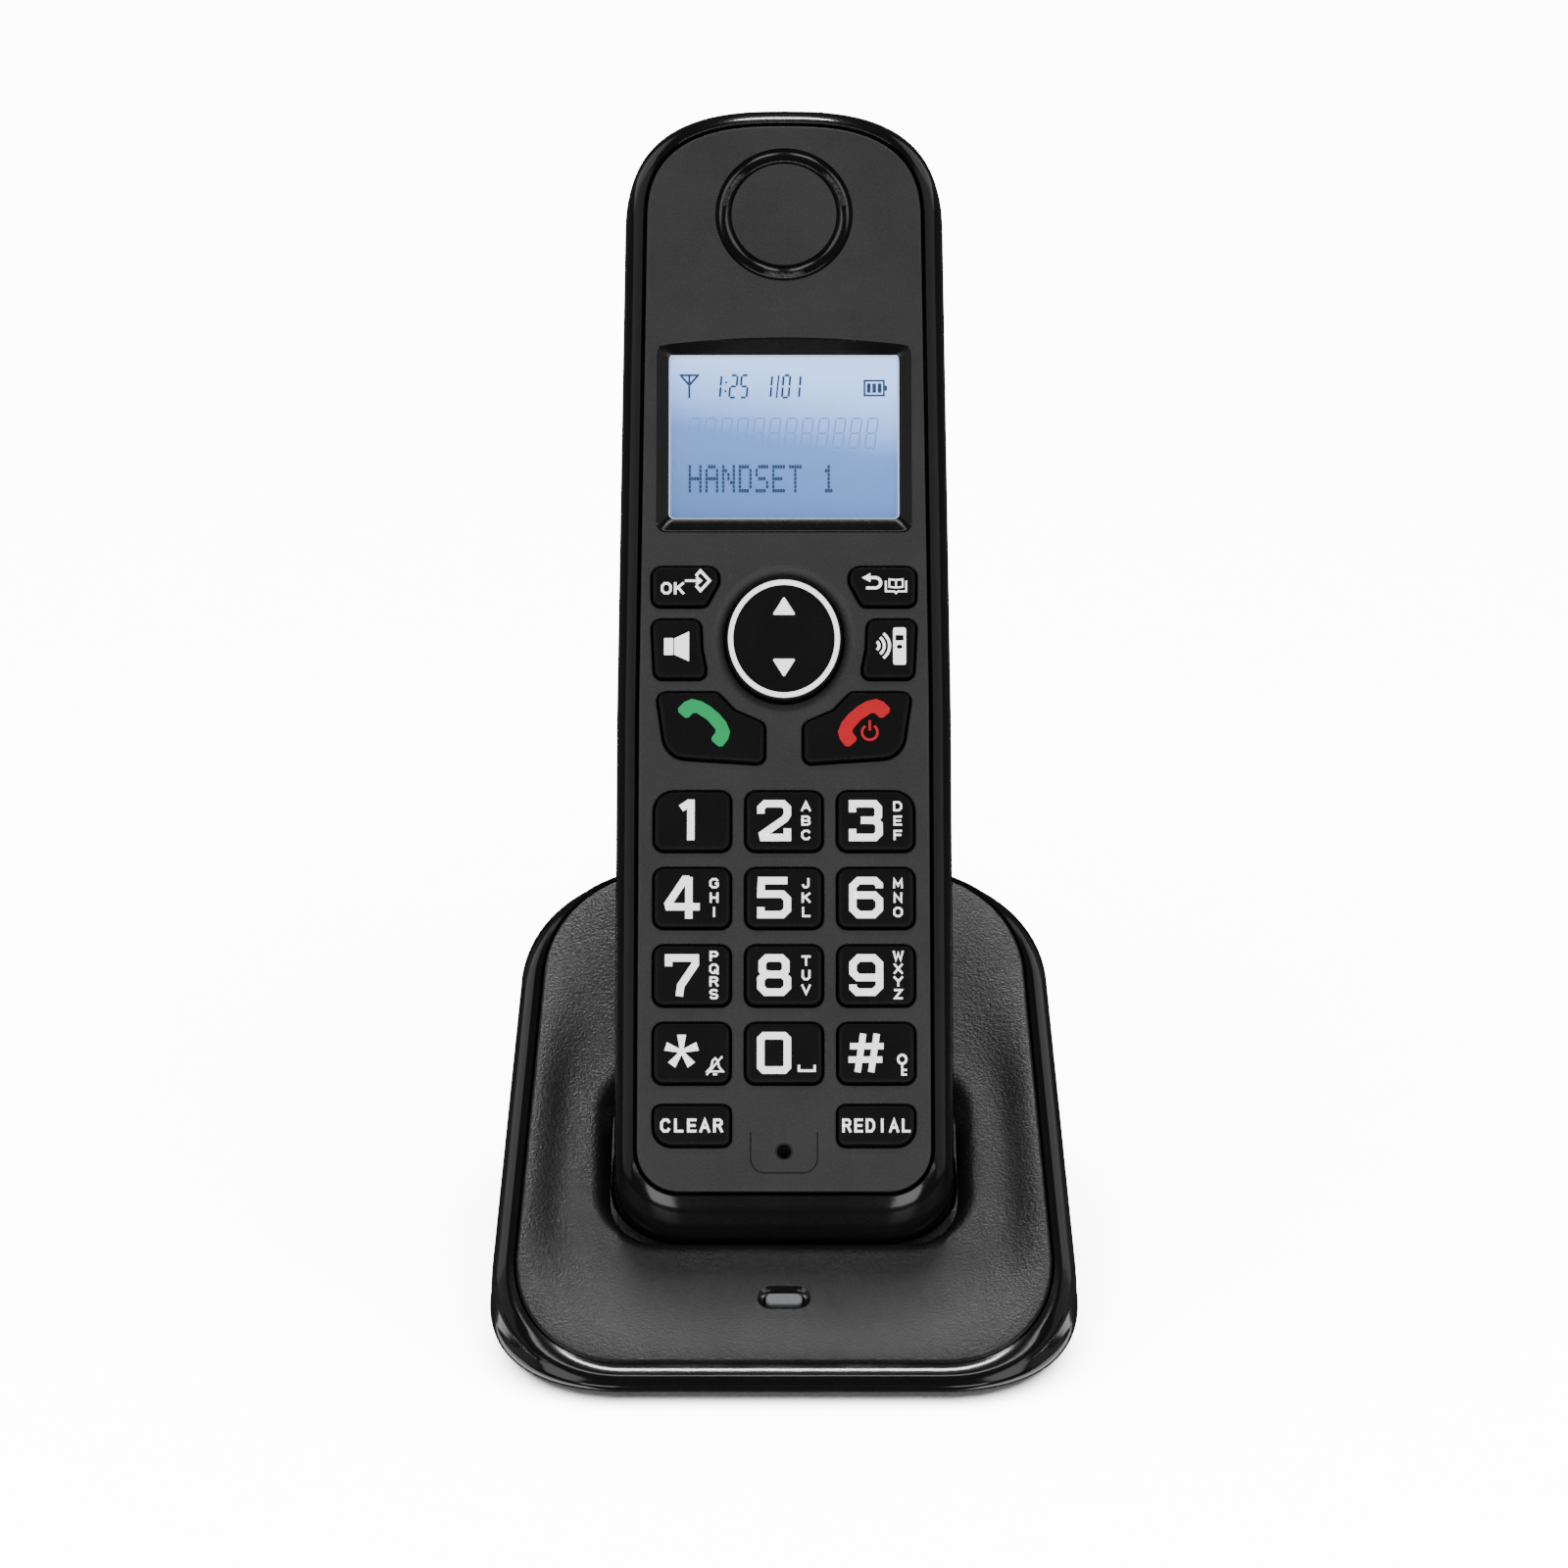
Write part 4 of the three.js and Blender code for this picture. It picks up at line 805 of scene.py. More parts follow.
# The dial digits' half width and half height, along their centre lines.
W, H = 1.87, 2.42
DIGITS = {
    "1": [[(1.2, -2.8), (1.2, 3.0)], [(-0.2, 1.75), (1.1, 2.6)]],
    "2": [[(-W, 1.0), (-W, H - 0.6), (-W + 0.6, H), (W - 0.6, H), (W, H - 0.6), (W, 0.85), (W - 0.35, 0.25),
           (-W + 0.25, -H + 0.45), (-W + 0.35, -H), (W, -H), (W, -H + 1.3)]],
    "3": [[(-W, 1.2), (-W, H), (W - 0.6, H), (W - 0.1, H - 0.6), (W - 0.1, 0.65), (W - 0.55, 0.05),
           (-0.7, 0.05)],
          [(W - 0.6, 0.05), (W, -0.55), (W, -H + 0.6), (W - 0.6, -H), (-W, -H), (-W, -1.2)]],
    "4": [[(1.0, H + 0.2), (0.35, H + 0.2), (-W - 0.1, -0.9), (-W, -1.3), (W + 0.6, -1.3)],
          [(0.95, H + 0.5), (0.95, -3.0)]],
    "5": [[(W, H), (-W + 0.1, H), (-W, 0.5), (W - 0.7, 0.5), (W, -0.2), (W, -H + 0.7), (W - 0.7, -H),
           (-W, -H), (-W, -1.35)]],
    "6": [[(W, 1.35), (W, H - 0.6), (W - 0.6, H), (-W + 0.8, H), (-W, H - 0.8), (-W, -H + 0.8),
           (-W + 0.8, -H), (W - 0.8, -H), (W, -H + 0.8), (W, -0.35), (W - 0.7, 0.35), (-W + 0.3, 0.35)]],
    "7": [[(-W, 1.25), (-W, H), (W, H), (W, H - 0.9), (-0.15, -1.5), (-0.35, -3.0)]],
    "8": [[(-1.1, 0.1), (-1.65, 0.65), (-1.65, H - 0.6), (-1.05, H), (1.05, H), (1.65, H - 0.6), (1.65, 0.65),
           (1.1, 0.1), (-1.1, 0.1)],
          [(-1.2, 0.1), (-W, -0.55), (-W, -H + 0.7), (-W + 0.7, -H), (W - 0.7, -H), (W, -H + 0.7), (W, -0.55),
           (1.2, 0.1), (-1.2, 0.1)]],
    "0": [[(-W + 0.45, H), (W - 0.45, H), (W, H - 0.45), (W, -H + 0.45), (W - 0.45, -H), (-W + 0.45, -H),
           (-W, -H + 0.45), (-W, H - 0.45), (-W + 0.45, H)]],
    "hash": [[(-1.25, -2.7), (-0.45, 2.7)], [(0.65, -2.7), (1.45, 2.7)], [(-2.3, 0.95), (2.4, 0.95)],
             [(-2.5, -0.95), (2.2, -0.95)]],
}
DIGITS["9"] = [[(-x, -y) for x, y in line] for line in DIGITS["6"]]
PRINT_Z = KEY_PROUD - 0.052


def extended(line, by):
    """An open line with both ends moved outwards, so that its stroke ends as far out as a cross stroke."""
    if line[0] == line[-1]:
        return line
    first, last = unit(sub(line[0], line[1])), unit(sub(line[-1], line[-2]))
    start = (line[0][0] + first[0] * by, line[0][1] + first[1] * by)
    end = (line[-1][0] + last[0] * by, line[-1][1] + last[1] * by)
    return [start] + line[1:-1] + [end]


def letter_strokes(letter, x, y, half_wide, half_high, stroke):
    lines = placed(LETTERS[letter], x, y, half_wide, half_high)
    reach = 0 if letter in "CGS" else stroke / 2
    return ribbon([extended(line, reach) for line in lines], stroke, PRINT_Z)


def text(words, x, y, height, stroke, step, width):
    """A centred row of capitals."""
    half_high = (height - stroke) / 2
    half_wide = half_high * width
    pitch = (2 * half_wide + stroke) * step
    start = x - pitch * (len(words) - 1) / 2
    return [
        letter_strokes(letter, start + i * pitch, y, half_wide, half_high, stroke)
        for i, letter in enumerate(words)
    ]


DIAL_LETTERS = ["", "ABC", "DEF", "GHI", "JKL", "MNO", "PQRS", "TUV", "WXYZ", "", "", ""]


def dial_print(i, name):
    """The print on a dial key: its digit, then its letters or its small mark down the right side."""
    x, y = dial_place(i)
    words = DIAL_LETTERS[i]
    parts = []
    if name == "star":
        for k in range(5):
            turn = Matrix.Rotation(math.radians(72 * k), 2)
            arm = [turn @ Vector(p) for p in ((-0.22, 0.1), (0.22, 0.1), (0.62, 2.35), (-0.62, 2.35))]
            parts.append(patch([(x - 1.4 + p.x, y + 0.2 + p.y) for p in arm], PRINT_Z, 0.04 + 0.002 * k))
        hub = ellipse(x - 1.4, y + 0.2, 0.55, 0.55, 16)
        parts.append(patch(hub, PRINT_Z, 0.052))
        right = [(3.3, -0.75), (3.65, -1.1), (3.85, -2.0), (4.4, -2.6)]
        bell = [(2.2, -2.6), (2.75, -2.0), (2.95, -1.1)] + right + [(2.2, -2.6)]
        parts.append(ribbon(placed([bell], x, y), 0.26, PRINT_Z))
        parts.append(ribbon(placed([[(2.1, -3.1), (4.3, -0.5)]], x, y), 0.24, PRINT_Z + 0.012))
        parts.append(ribbon(placed([[(3.0, -3.0), (3.6, -3.0)]], x, y), 0.26, PRINT_Z + 0.004))
    elif name in DIGITS:
        stroke = 1.04 if name != "hash" else 0.88
        parts.append(ribbon(placed(DIGITS[name], x - 1.4, y), stroke, PRINT_Z))
    if name == "0":
        space = [(2.1, -1.7), (2.1, -2.5), (4.3, -2.5), (4.3, -1.7)]
        parts.append(ribbon(placed([space], x, y), 0.34, PRINT_Z))
    if name == "hash":
        bow = arc(x + 3.6, y - 0.9, 0.58, 0.62, 0, 360, 16)
        parts.append(ribbon([bow], 0.32, PRINT_Z))
        teeth = [[(3.6, -1.5), (3.6, -3.2)], [(3.6, -2.4), (4.25, -2.4)], [(3.6, -3.05), (4.25, -3.05)]]
        parts.append(ribbon(placed(teeth, x, y), 0.28, PRINT_Z))
    pitch = 1.8 if len(words) == 4 else 2.05
    for k, letter in enumerate(words):
        down = (len(words) - 1) / 2 - k
        wide = 0.58 if letter != "I" else 0.3
        parts.append(letter_strokes(letter, x + 3.1, y + down * pitch, wide * 0.95, 0.58, 0.28))
    return parts


def receiver_shape(x, y, size, turn, mirror=1):
    """A telephone receiver as a filled outline: two ends joined by a bowed grip."""
    right = [(0, 0.16), (0.42, 0.1), (0.5, 0.02), (0.52, -0.2), (0.6, -0.28), (0.9, -0.28), (1.0, -0.18),
             (0.98, 0.12), (0.86, 0.36), (0.55, 0.52), (0.2, 0.58)]
    line = right + [(-px, py) for px, py in reversed(right[1:])]
    c, s = math.cos(math.radians(turn)), math.sin(math.radians(turn))
    return [(x + mirror * size * (px * c - py * s), y + size * (px * s + py * c)) for px, py in line]


def triangle(x, y, half, height):
    return rounded([(x - half, y, 0.15), (x + half, y, 0.15), (x, y + height, 0.15)], 3)


def function_print():
    """Print on the function keys, as {key: [(kind, parts)]}."""
    z = PRINT_Z
    marks = {}
    diamond = [(-12.55, 94.0), (-11.9, 94.75), (-10.6, 93.3), (-11.9, 91.85), (-12.55, 92.6)]
    arrow = [[(-14.1, 93.3), (-11.9, 93.3)], [(-12.5, 92.75), (-11.85, 93.3), (-12.5, 93.85)]]
    marks["key_ok"] = [("white", text("OK", -15.85, 92.2, 1.75, 0.34, step=1.12, width=0.9)
                        + [ribbon([diamond], 0.4, z), ribbon(arrow, 0.34, z + 0.004)])]
    hook = [(11.9, 93.75), (13.0, 93.75)] + arc(13.0, 93.0, 0.78, 0.75, 80, -90, 8) + [(11.7, 92.25)]
    point = [(11.1, 93.75), (12.3, 93.1), (12.3, 94.4)]
    cover = [
        (14.5, 93.3), (14.5, 91.75), (15.7, 91.75), (15.95, 91.5), (16.2, 91.75), (17.4, 91.75), (17.4, 93.3),
    ]
    pages = [
        (15.95, 92.3), (15.0, 92.4), (15.0, 93.5), (15.95, 93.4), (16.9, 93.5), (16.9, 92.4), (15.95, 92.3),
    ]
    marks["key_back"] = [("white", [ribbon([hook], 0.42, z), patch(point, z, 0.046), ribbon([cover], 0.26, z),
                                    ribbon([pages, [(15.95, 92.3), (15.95, 93.4)]], 0.24, z)])]
    box_part = rectangle(-17.05, -15.75, 82.5, 84.95, 0.1, 2)
    horn = [(-15.6, 82.55), (-13.5, 81.6), (-13.5, 85.9), (-15.6, 84.9)]
    marks["key_speaker"] = [("white", [patch(box_part, z), patch(horn, z)])]
    waves = [arc(12.75, 83.85, r, r, -52, 52, 10) for r in (0.75, 1.5, 2.25)]
    slim = rectangle(15.5, 17.35, 81.1, 86.5, 0.35, 4)
    window = [(15.85, 84.6), (17.0, 84.6), (17.0, 85.4), (15.85, 85.4)]
    pad = ellipse(16.42, 83.7, 0.42, 0.3, 16)
    marks["key_intercom"] = [("white", [ribbon(waves, 0.4, z), patch(slim, z)]),
                             ("key", [patch(window, z + 0.01), patch(pad, z + 0.01)])]
    marks["key_talk"] = [("green", [patch(receiver_shape(-11.35, 72.65, 4.2, -41), z)])]
    power = arc(12.15, 71.35, 1.1, 1.1, 125, 415, 16)
    marks["key_end"] = [("red", [patch(receiver_shape(11.35, 72.65, 4.2, -41, -1), z),
                                 ribbon([power, [(12.15, 71.6), (12.15, 73.1)]], 0.36, z)])]
    marks["key_clear"] = [("white", text("CLEAR", -12.9, 15.45, 1.95, 0.36, step=1.22, width=0.72))]
    marks["key_redial"] = [("white", text("REDIAL", 12.9, 15.45, 1.95, 0.34, step=1.18, width=0.66))]
    return marks


def build_keys():
    openings = key_openings()
    for name, opening in openings.items():
        key_cap(name, opening, name + "_cap")
    for i, name in enumerate(DIAL_NAMES):
        printed_piece("print_" + name, "white", dial_print(i, name), "key_" + name + "_cap")
    for name, layers in function_print().items():
        for kind, parts in layers:
            printed_piece("print_" + name[4:] + "_" + kind, kind, parts, name + "_cap")
    nav = ellipse(0, NAV_Y, NAV_HALF[0] - GAP, NAV_HALF[1] - GAP, 96)
    steps = [(0.6, -3.1), (0.6, -2.5), (0, -2.45), (0, -0.1)] + rounded_top(0.3, 0.72)
    steps += [(-1.2, 0.72), (-2.2, 0.64), (-3.6, 0.46), (-5.2, 0.33), (-7.2, 0.28)]
    cap = stack("nav_key_cap", nav, steps, ["key"])
    finish(cap, "key", "navigation_key", "nav_key", angle=50)
    ring = [(7.24, 0.7), (7.24, 0.76), (7.94, 0.76), (7.94, 0.7)]
    band = ring_band("print_nav_ring", 0, ring, ["white"])
    band.data.transform(Matrix.Translation((0, NAV_Y, 0)) @ Matrix.Diagonal((1, 1.078, 1, 1)))
    finish(band, "white", "navigation_key")
    up = triangle(0, 88.4, 1.65, 2.65)
    down = [(x, 2 * (NAV_Y + 0.3) - y) for x, y in reversed(up)]
    arrows = [patch(up, 0.4, 0.16), patch(down, 0.4, 0.16)]
    printed_piece("print_nav_arrows", "white", arrows, "navigation_key")


# ------------------------------------------------------------------ display
DOTS = {
    " ": [],
    "H": ["#...#", "#...#", "#...#", "#####", "#...#", "#...#", "#...#"],
    "A": [".###.", "#...#", "#...#", "#####", "#...#", "#...#", "#...#"],
    "N": ["#...#", "##..#", "#.#.#", "#.#.#", "#..##", "#...#", "#...#"],
    "D": ["####.", "#...#", "#...#", "#...#", "#...#", "#...#", "####."],
    "S": [".####", "#....", "#....", ".###.", "....#", "....#", "####."],
    "E": ["#####", "#....", "#....", "####.", "#....", "#....", "#####"],
    "T": ["#####", "..#..", "..#..", "..#..", "..#..", "..#..", "..#.."],
    "1": ["..#..", ".##..", "..#..", "..#..", "..#..", "..#..", ".###."],
}
SEGMENTS = {"0": "abcdef", "1": "bc", "2": "abged", "5": "afgcd", "8": "abcdefg"}


def segment_digit(x, y, wide, high, which, slant=0.12):
    """Lines of a seven-segment digit whose lower left corner is at x, y."""
    half = high / 2
    gap = 0.12
    lines = {
        "a": [(gap, high), (wide - gap, high)], "b": [(wide, high - gap), (wide, half + gap)],
        "c": [(wide, half - gap), (wide, gap)], "d": [(gap, 0), (wide - gap, 0)],
        "e": [(0, gap), (0, half - gap)], "f": [(0, half + gap), (0, high - gap)],
        "g": [(gap, half), (wide - gap, half)],
    }
    return [[(x + px + slant * py, y + py) for px, py in lines[s]] for s in SEGMENTS[which]]


DISPLAY_FACE_Z = -3.1
WINDOW_Z = -1.92


def status_row(z):
    """The display's top row: an aerial, the time, the date and a cell."""
    aerial = [(-14.9, 124.4), (-13.65, 122.9), (-12.4, 124.4), (-14.9, 124.4)]
    parts = [ribbon([[(-13.65, 121.0), (-13.65, 124.4)], aerial], 0.3, z)]
    lines = []
    for x, digit in ((-10.2, "1"), (-7.9, "2"), (-6.35, "5"), (-2.9, "1"), (-0.3, "0"), (1.2, "1")):
        lines += segment_digit(x, 121.1, 0.95, 3.3, digit, 0.08)
    parts.append(ribbon(lines, 0.3, z))
    for x, y in ((-8.6, 121.9), (-8.5, 123.2)):
        parts.append(patch(rectangle(x, x + 0.3, y, y + 0.3, 0.08, 2), z))
    parts.append(ribbon([[(-1.1, 121.0), (-0.75, 124.4)]], 0.24, z))
    cell = [(11.6, 121.4), (14.4, 121.4), (14.4, 123.6), (11.6, 123.6), (11.6, 121.4)]
    parts.append(ribbon([cell], 0.28, z))
    for k in range(3):
        parts.append(patch(rectangle(11.95 + 0.78 * k, 12.5 + 0.78 * k, 121.8, 123.2, 0.05, 2), z))
    parts.append(patch(rectangle(14.5, 14.85, 122.1, 122.9, 0.1, 2), z))
    return parts


def dotted_row(words, z):
    """The display's bottom row, in letters of five by seven dots."""
    parts = []
    for i, letter in enumerate(words):
        for row, bits in enumerate(DOTS[letter]):
            for column, bit in enumerate(bits):
                if bit == "#":
                    x, y = -13.7 + 2.4 * i + 0.38 * column, 110.6 - 0.59 * row
                    parts.append(patch([(x, y), (x + 0.33, y), (x + 0.33, y + 0.52), (x, y + 0.52)], z))
    return parts


def display_box(name, margin, bottom, top, kind, node, radius):
    """A flat piece that reaches past the display's opening by a margin on every side."""
    half = LCD_HALF + margin
    piece = box(name, -half, half, LCD_BOTTOM - margin, LCD_TOP + margin, bottom, top, [kind], radius=radius)
    finish(piece, kind, "handset", node)


def build_display():
    # A pale emissive line round the window's border: a painted highlight on the pane's edge.
    border = rectangle(-LCD_HALF + 0.15, LCD_HALF - 0.15, LCD_BOTTOM + 0.15, LCD_TOP - 0.15, 0.7)
    painted_highlight_line = ribbon([border + border[:1]], 0.2, WINDOW_Z - 0.01)
    printed_piece("display_pane_painted_highlight", "painted_edge_highlight", [painted_highlight_line], "handset")
    display_box("display_pane", 1.2, -2.8, WINDOW_Z, "clear", "display_window", 0.12)
    display_box("display_face", 1.6, -4, DISPLAY_FACE_Z, "display", "display_panel", 0.1)
    z = DISPLAY_FACE_Z + 0.01
    printed_piece("display_segments", "segment", status_row(z) + dotted_row("HANDSET 1", z), "handset")
    unlit = []
    for k in range(12):
        unlit += segment_digit(-14.0 + 2.33 * k, 113.6, 1.4, 4.4, "8")
    printed_piece("display_unlit_segments", "ghost", [ribbon(unlit, 0.2, z)], "handset")


# ------------------------------------------------------------------ base
def handset_body(name, grow):
    """The handset's outer body in the base's frame, grown outwards."""
    rings = []
    for side, top, bottom, share, extra in smooth_rings(BODY_STATIONS, 5):
        towards = extra + grow if share else extra - grow * (extra < 8)
        rings.append([
            (x, y, -share * depth(y) - towards)
            for x, y in handset_outline(side - grow, top - grow, bottom - grow)
        ])
    return loft(name, rings, ["deck"], FACE_IN_BASE)


def under_deck(name, drop, floor):
    """Everything between a floor and a plane parallel to the deck, at a drop below it."""
    far = 70  # well past the base on every side
    front = (floor + 0.1 + drop - DECK_HEIGHT) / DECK_SLOPE
    corners = [(-far, front), (far, front), (far, far), (-far, far)]
    low = [(x, y, floor) for x, y in corners]
    high = [(x, y, deck_z(y) - drop) for x, y in corners]
    return loft(name, [low, high], ["deck"])


def spoke_points(outline, count=240):
    """Where spokes from the cradle's middle cross an outline."""
    middle = Vector((0, (MOUTH[2] + MOUTH[3]) / 2))
    corners = [Vector(p) for p in outline]
    points = []
    for spoke in range(count):
        angle = 2 * math.pi * (spoke + 0.5) / count
        ray = Vector((math.cos(angle), math.sin(angle)))
        reach = 0
        for i, start in enumerate(corners):
            edge = corners[(i + 1) % len(corners)] - start
            away = start - middle
            across = ray.cross(edge)
            if abs(across) < 1e-9:
                continue
            share = away.cross(ray) / across
            if 0 <= share <= 1:
                reach = max(reach, away.cross(edge) / across)
        points.append(middle + ray * reach)
    return points


def deck_panel():
    """The dished deck, from its underside up round its edge and inwards to the cradle's mouth."""
    mouth = rectangle(*MOUTH, 7, 10)
    edge = spoke_points(base_outline(RIM_WIDTH + GAP))
    rolls = [spoke_points(offset(mouth, distance)) for distance, drop in ROLL]
    lowest = DISH + ROLL[-1][1]

    def on_deck(points, drop):
        return [(p.x, p.y, deck_z(p.y) - drop) for p in points]

    rings = [on_deck(rolls[-1], lowest + DECK_THICKNESS), on_deck(rolls[0], DISH + 3.2)]
    rings += [on_deck(edge, DECK_THICKNESS), on_deck(edge, 0.45)]
    for out, z in rounded_top(0.4, 0, 4)[1:]:
        rings.append(on_deck(spoke_points(base_outline(RIM_WIDTH + GAP - out)), -z))
    inner = spoke_points(base_outline(RIM_WIDTH + GAP + 0.4))
    for across, share in DISH_SHARES:
        rings.append(on_deck([a.lerp(b, across) for a, b in zip(inner, rolls[0])], share * DISH))
    rings += [on_deck(roll, DISH + drop) for roll, (distance, drop) in zip(rolls, ROLL)]
    return loft("deck_panel", rings, ["deck", "gloss", "inner"])


def lamp_frame():
    tilt = Matrix.Rotation(math.atan(DECK_SLOPE), 4, "X")
    return Matrix.Translation((0, LAMP_Y, deck_z(LAMP_Y) - DISH)) @ tilt


def lamp_outline(grow):
    x, y = 2.55 + grow, 0.95 + grow
    return rectangle(-x, x, -y, y, y * 0.85)


def cradle_deck():
    """The deck with its cradle: a cup round the handset's foot, open for the contacts and the lamp."""
    panel = deck_panel()
    well = handset_body("well", 2.0)
    boolean(well, under_deck("level", DISH + ROLL[-1][1] + 0.2, 2.9), "INTERSECT")
    boolean(panel, well, "UNION")
    cut(panel, handset_body("room", 0.5))
    for side in (-1, 1):
        x = PAD_X * side
        cut(panel, box("slot", x - 1.5, x + 1.5, -8.85, -2.55, -11.5, -8.5, ["inner"], FACE_IN_BASE))
        cut(panel, box("pad_path", x - 2.65, x + 2.65, -2.75, 3, -11.85, -8.15, ["inner"], FACE_IN_BASE))
    place = lamp_frame()
    cut(panel, stack("lamp_hole", lamp_outline(GAP), [(0, -4), (0, 2)], ["inner"], place))
    soft = [(0.35, -0.5), (0.7, -0.42), (0.95, -0.12), (1.15, 0.02), (1.2, 1)]
    cut(panel, stack("lamp_recess", lamp_outline(0), soft, ["gloss"], place))
    finish(panel, "deck", "base", "cradle_deck", angle=34)


# Distance in from the outline, drop below the deck, and the largest share of the rim's height it may take.
RIM_STATIONS = [
    (1.5, 60, 1.0), (0.5, 45, 0.82), (0, 42, 0.62), (0.25, 3.4, 0.42), (1, 1.6, 0.2), (2.2, 0.35, 0.06),
    (3.3, 0, 0),
]


def base_rim():
    inner = base_outline(RIM_WIDTH)
    rings = []
    for inset, drop, share in smooth_rings(RIM_STATIONS, 4) + [(RIM_WIDTH, 0.15, 1)]:
        ring = []
        for i, (x, y) in enumerate(base_outline(inset)):
            top = deck_z(inner[i][1])
            ring.append((x, y, top - min(drop, share * (top - SEAM_HEIGHT))))
        rings.append(ring)
    body = loft("rim_shell", rings, ["gloss", "inner"])
    wall = 2.2
    hollow = [[(x, y, 1) for x, y in base_outline(wall)]]
    for inset, drop in ((wall, 2.6), (RIM_WIDTH, 2.55), (RIM_WIDTH, -3)):
        hollow.append([(x, y, deck_z(y) - drop) for x, y in base_outline(inset)])
    cut(body, loft("hollow", hollow, ["inner"]))
    for x, y in BASE_SCREWS.values():
        web = math.copysign(5, x)
        boolean(body, box("web", min(x, x + web), max(x, x + web), y - 1, y + 1, 2.5, 10, ["inner"]), "UNION")
        boolean(body, stack("boss", ellipse(x, y, 2.6, 2.6, 32), [(0, 2.5), (0, 10)], ["inner"]), "UNION")
        bore(body, "bore", x, y, SCREW_HOLE, 1.5, 9)
    for x, half, high in JACKS:
        left, right = x - half - GAP, x + half + GAP
        cut(body, box("jack_way", left, right, 36.5, 52.5, JACK_FLOOR - GAP, high + GAP, ["inner"]))
    finish(body, "gloss", "base", "base_rim", angle=40)


def bottom_cover():
    levels = [(3.3, 0.6), (3.0, 0.68), (2.1, 1.1), (1.9, 1.2), (3.8, 1.22), (3.8, 2)]
    cover = loft("cover_panel", [[(x, y, z) for x, y in base_outline(i)] for i, z in levels], ["inner"])
    for x, y in BASE_SCREWS.values():
        bore(cover, "head_way", x, y, SCREW_HEAD_HOLE, 0, 1.7, 32)
        bore(cover, "shank_way", x, y, SCREW_HOLE, 0, 4)
    for x, y in FEET.values():
        bore(cover, "foot_way", x, y, FOOT_RADIUS + GAP, 0, 1.5, 48)
    for i in range(-4, 5):
        vent = rectangle(-9, 9, i * 3 - 0.6, i * 3 + 0.6, 0.55, 4)
        cut(cover, stack("vent_groove", vent, [(0, 0), (0, 0.95)], ["inner"]))
    finish(cover, "inner", "base", "base_bottom_cover", angle=34)


SCREW_PROFILE = [(1.3, 0), (1.75, 0.14), (1.9, 0.5), (1.9, 0.9), (1, 0.9), (1, 6.2), (0.02, 7)]


def screw(node, x, y, head_z, body):
    """A cross-head screw, its head down at head_z and its shank up."""
    head = turned(node + "_head", SCREW_PROFILE, ["steel"])
    for angle in (0, math.pi / 2):
        turn = Matrix.Rotation(angle, 4, "Z")
        cut(head, box("recess", -1.1, 1.1, -0.28, 0.28, -1, 0.8, ["steel"], turn, 0.08))
    head.data.transform(Matrix.Translation((x, y, head_z)))
    finish(head, "steel", body, node, angle=34)


def jack_body(name, jack, front, kinds):
    x, half, high = jack
    return box(name, x - half, x + half, front, JACK_BACK, JACK_FLOOR, high, kinds, radius=0.3)


def build_jacks():
    line, power = JACKS
    socket = jack_body("line_socket", line, 30, ["inner"])
    x = line[0]
    cut(socket, box("mouth", x - 4.9, x + 4.9, 33, 46, 8, 14.8, ["inner"], radius=0.25))
    cut(socket, box("notch", x - 2, x + 2, 33, 46, 6.8, 8.8, ["inner"]))
    finish(socket, "inner", "base", "line_jack")
    inlet = jack_body("power_socket", power, 32, ["inner", "steel"])
    middle = (power[0], JACK_BACK, (JACK_FLOOR + power[2]) / 2)
    turn = Matrix.Translation(middle) @ Matrix.Rotation(-math.pi / 2, 4, "X")
    cut(inlet, turned("mouth", [(3.2, -9), (3.2, -0.3), (3.5, 0.02), (3.5, 1)], ["inner"], turn))
    boolean(inlet, turned("pin", [(1, -10), (1, -1.3), (0.7, -1)], ["steel"], turn, 32), "UNION")
    finish(inlet, "inner", "base", "power_jack")


def build_base():
    cradle_deck()
    base_rim()
    bottom_cover()
    build_jacks()
    dome = [(0, -3), (0, -0.3)] + rounded_top(0.3, 0.08, 4)
    lens = stack("lamp_light_pipe", lamp_outline(0), dome, ["lamp"], lamp_frame())
    finish(lens, "lamp", "base", "lamp_lens")
    sole = [(-0.45, 0.0), (-0.2, 0.08), (0, 0.35), (0, 1.2)]
    for corner, (x, y) in BASE_SCREWS.items():
        screw("base_screw_" + corner, x, y, 0.75, "base")
        pad = turned("foot_pad_" + corner, [(FOOT_RADIUS + out, z) for out, z in sole], ["rubber"])
        pad.data.transform(Matrix.Translation((*FEET[corner], 0)))
        finish(pad, "rubber", "base", "foot_" + corner)


# ------------------------------------------------------------------ inside
CELL_PROFILE = [
    (4.6, 65), (5.0, 65.08), (5.25, 65.4), (5.25, 107.9), (4.95, 108.4), (4.75, 108.5), (1.95, 108.5),
    (1.9, 108.6), (1.9, 109.35), (1.75, 109.5),
]
CARRIED = {
    "base_circuit_board": "board", "handset_circuit_board": "board", "keypad_membrane": "silicone",
    "display_backlight": "lamp", "earpiece_speaker": "steel", "loudspeaker": "steel",
    "microphone": "rubber", "battery_contact_lower": "steel", "battery_contact_upper": "steel",
}


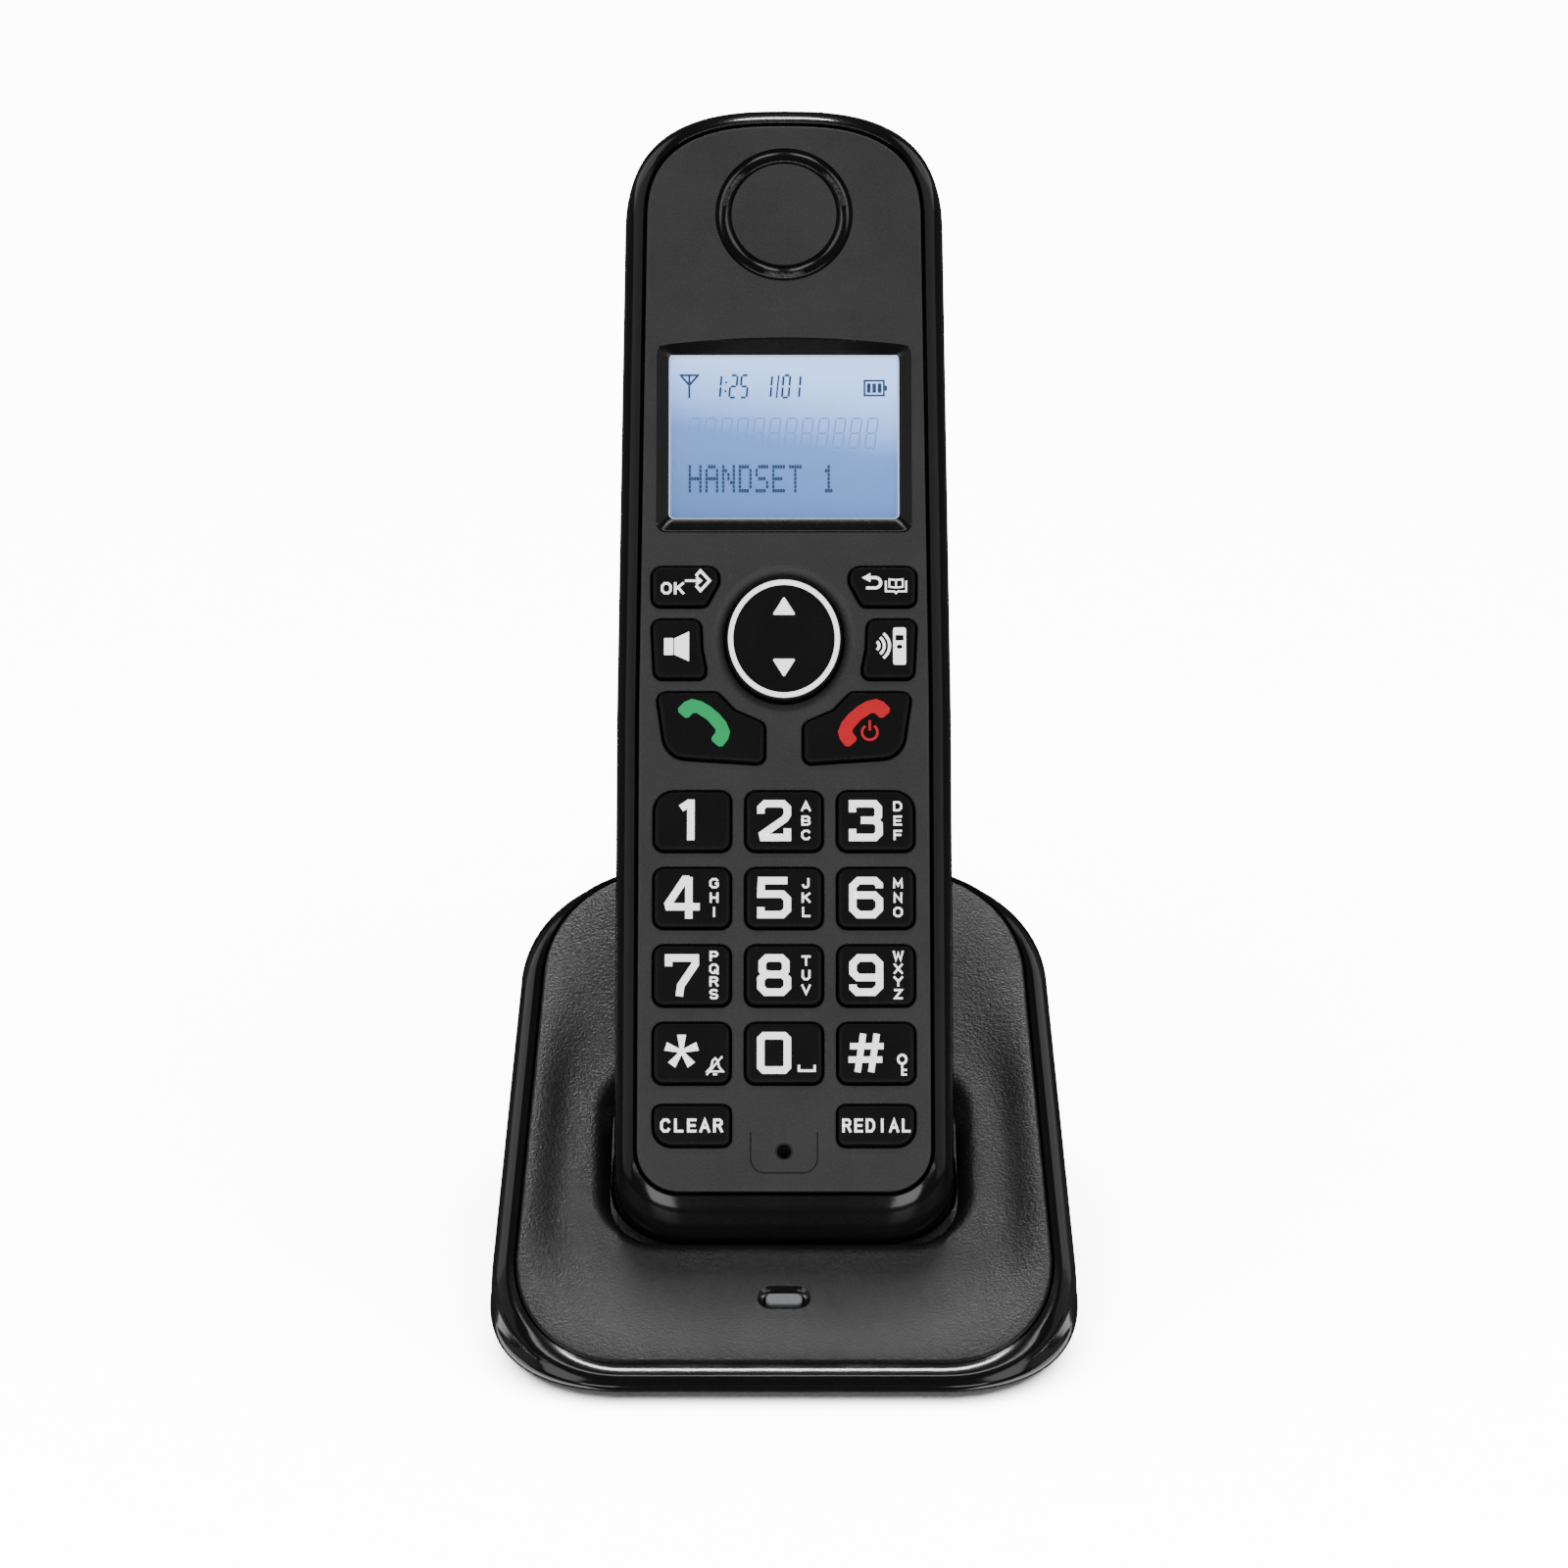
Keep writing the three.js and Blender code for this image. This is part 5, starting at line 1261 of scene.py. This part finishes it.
def build_inside():
    for side, word in ((-1, "left"), (1, "right")):
        axis = Matrix.Translation((side * CELL_X, 0, CELL_Z)) @ Matrix.Rotation(-math.pi / 2, 4, "X")
        cell = turned("cell_" + word, CELL_PROFILE, ["sleeve", "steel"], axis)
        for face in cell.data.polygons:
            face.material_index = int(not 65.05 <= face.center.y <= 108.4)
        finish(cell, "sleeve", "handset", "battery_" + word)
        x, y = HAND_SCREW[0] * side, HAND_SCREW[1]
        screw("handset_screw_" + word, x, y, -depth(y) + 0.1, "handset")
        x = PAD_X * side
        pad = box("pad_" + word, x - 2.4, x + 2.4, -2.5, 0.3, -11.6, -8.4, ["gold"], radius=0.35)
        finish(pad, "gold", "handset", "charge_pad_" + word)
        tip = box("contact_" + word, x - 1.2, x + 1.2, -6.25, -2.85, -11.2, -8.8, ["gold"], radius=0.45)
        finish(tip, "gold", "base_contact_" + word, "charge_contact_" + word)
    for node, kind in CARRIED.items():
        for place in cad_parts[node].material_slots:
            place.material = MATERIALS[kind]


# ------------------------------------------------------------------ studio
# Places and sizes here are in metres. WHITE is the brightness of the floor and of the backdrop.
WHITE = 15
FLOOR_REFLECTANCE = 0.86
CAMERA_PLACE, CAMERA_TARGET = (0, -0.66953, 0.31175), (0, -0.01175, 0.07233)


def held(name, data, place, target):
    """An object for a light or a camera, at a place and turned to a target."""
    holder = linked(name, data)
    holder.location = place
    holder.rotation_euler = (Vector(target) - Vector(place)).to_track_quat("-Z", "Y").to_euler()
    return holder


def area_light(name, place, target, size, power):
    lamp = bpy.data.lights.new(name, "AREA")
    lamp.shape = "RECTANGLE"
    lamp.size, lamp.size_y = size
    lamp.energy = power
    held(name, lamp, place, target)


def build_world():
    """A dim room for the object, and a white backdrop for the camera alone."""
    world = bpy.data.worlds.new("studio")
    bpy.context.scene.world = world
    world.use_nodes = True
    tree = world.node_tree
    path = tree.nodes.new("ShaderNodeLightPath")
    shade = tree.nodes.new("ShaderNodeMix")
    shade.data_type = "RGBA"
    shade.inputs["A"].default_value = (0.03, 0.03, 0.031, 1)
    shade.inputs["B"].default_value = (WHITE, WHITE, WHITE, 1)
    tree.links.new(path.outputs["Is Camera Ray"], shade.inputs["Factor"])
    tree.links.new(shade.outputs["Result"], tree.nodes["Background"].inputs["Color"])


def build_floor():
    """A pale floor with its own light, which it throws back at the camera and not at the object."""
    reach, drop = 6000, -0.05
    corners = [(-reach, -reach, drop), (reach, -reach, drop), (reach, reach, drop), (-reach, reach, drop)]
    floor = make("floor", corners, [(0, 1, 2, 3)], ["floor"])
    floor.data.transform(Matrix.Scale(MM, 4))
    floor.visible_glossy = floor.visible_diffuse = False
    floor.visible_transmission = floor.visible_shadow = False
    sky = bpy.data.lights.new("floor_light", "SUN")
    sky.energy = WHITE * math.pi / FLOOR_REFLECTANCE
    sky.angle = math.radians(100)
    holder = linked("floor_light", sky)
    lit = bpy.data.collections.new("floor_only")
    lit.objects.link(floor)
    holder.light_linking.receiver_collection = lit


def build_studio():
    build_world()
    build_floor()
    area_light("top", (0, 0.04, 1.3), (0, -0.04, 0.01), (1.0, 0.14), 2.5)
    area_light("behind", (0, 0.76, 1.3), (0, -0.05, 0.01), (0.24, 0.12), 6.5)
    for side, word in ((-1, "left"), (1, "right")):
        area_light("front_" + word, (side * 1.1, -1.0, 0.75), (0, 0, 0.07), (0.8, 1.3), 7)
        area_light("back_" + word, (side * 1.2, 1.1, 0.8), (0, 0, 0.07), (0.8, 1.2), 2)
        area_light("side_" + word, (side * 1.6, 0.1, 0.5), (0, 0, 0.07), (1.6, 1.8), 3)
        area_light("low_" + word, (side * 0.3, -0.85, -0.06), (side * 0.02, 0, 0.03), (0.4, 0.4), 2)
        area_light("under_" + word, (side * 0.6, 0.2, -0.65), (0, 0, 0.08), (0.8, 1.0), 5)

    camera = bpy.data.cameras.new("camera")
    camera.lens = 114.4
    camera.sensor_width = 36
    bpy.context.scene.camera = held("camera", camera, CAMERA_PLACE, CAMERA_TARGET)


rear_housing()
battery_cover()
face_plate(key_openings())
build_keys()
build_display()
build_base()
build_inside()
build_studio()

bpy.context.view_layer.update()
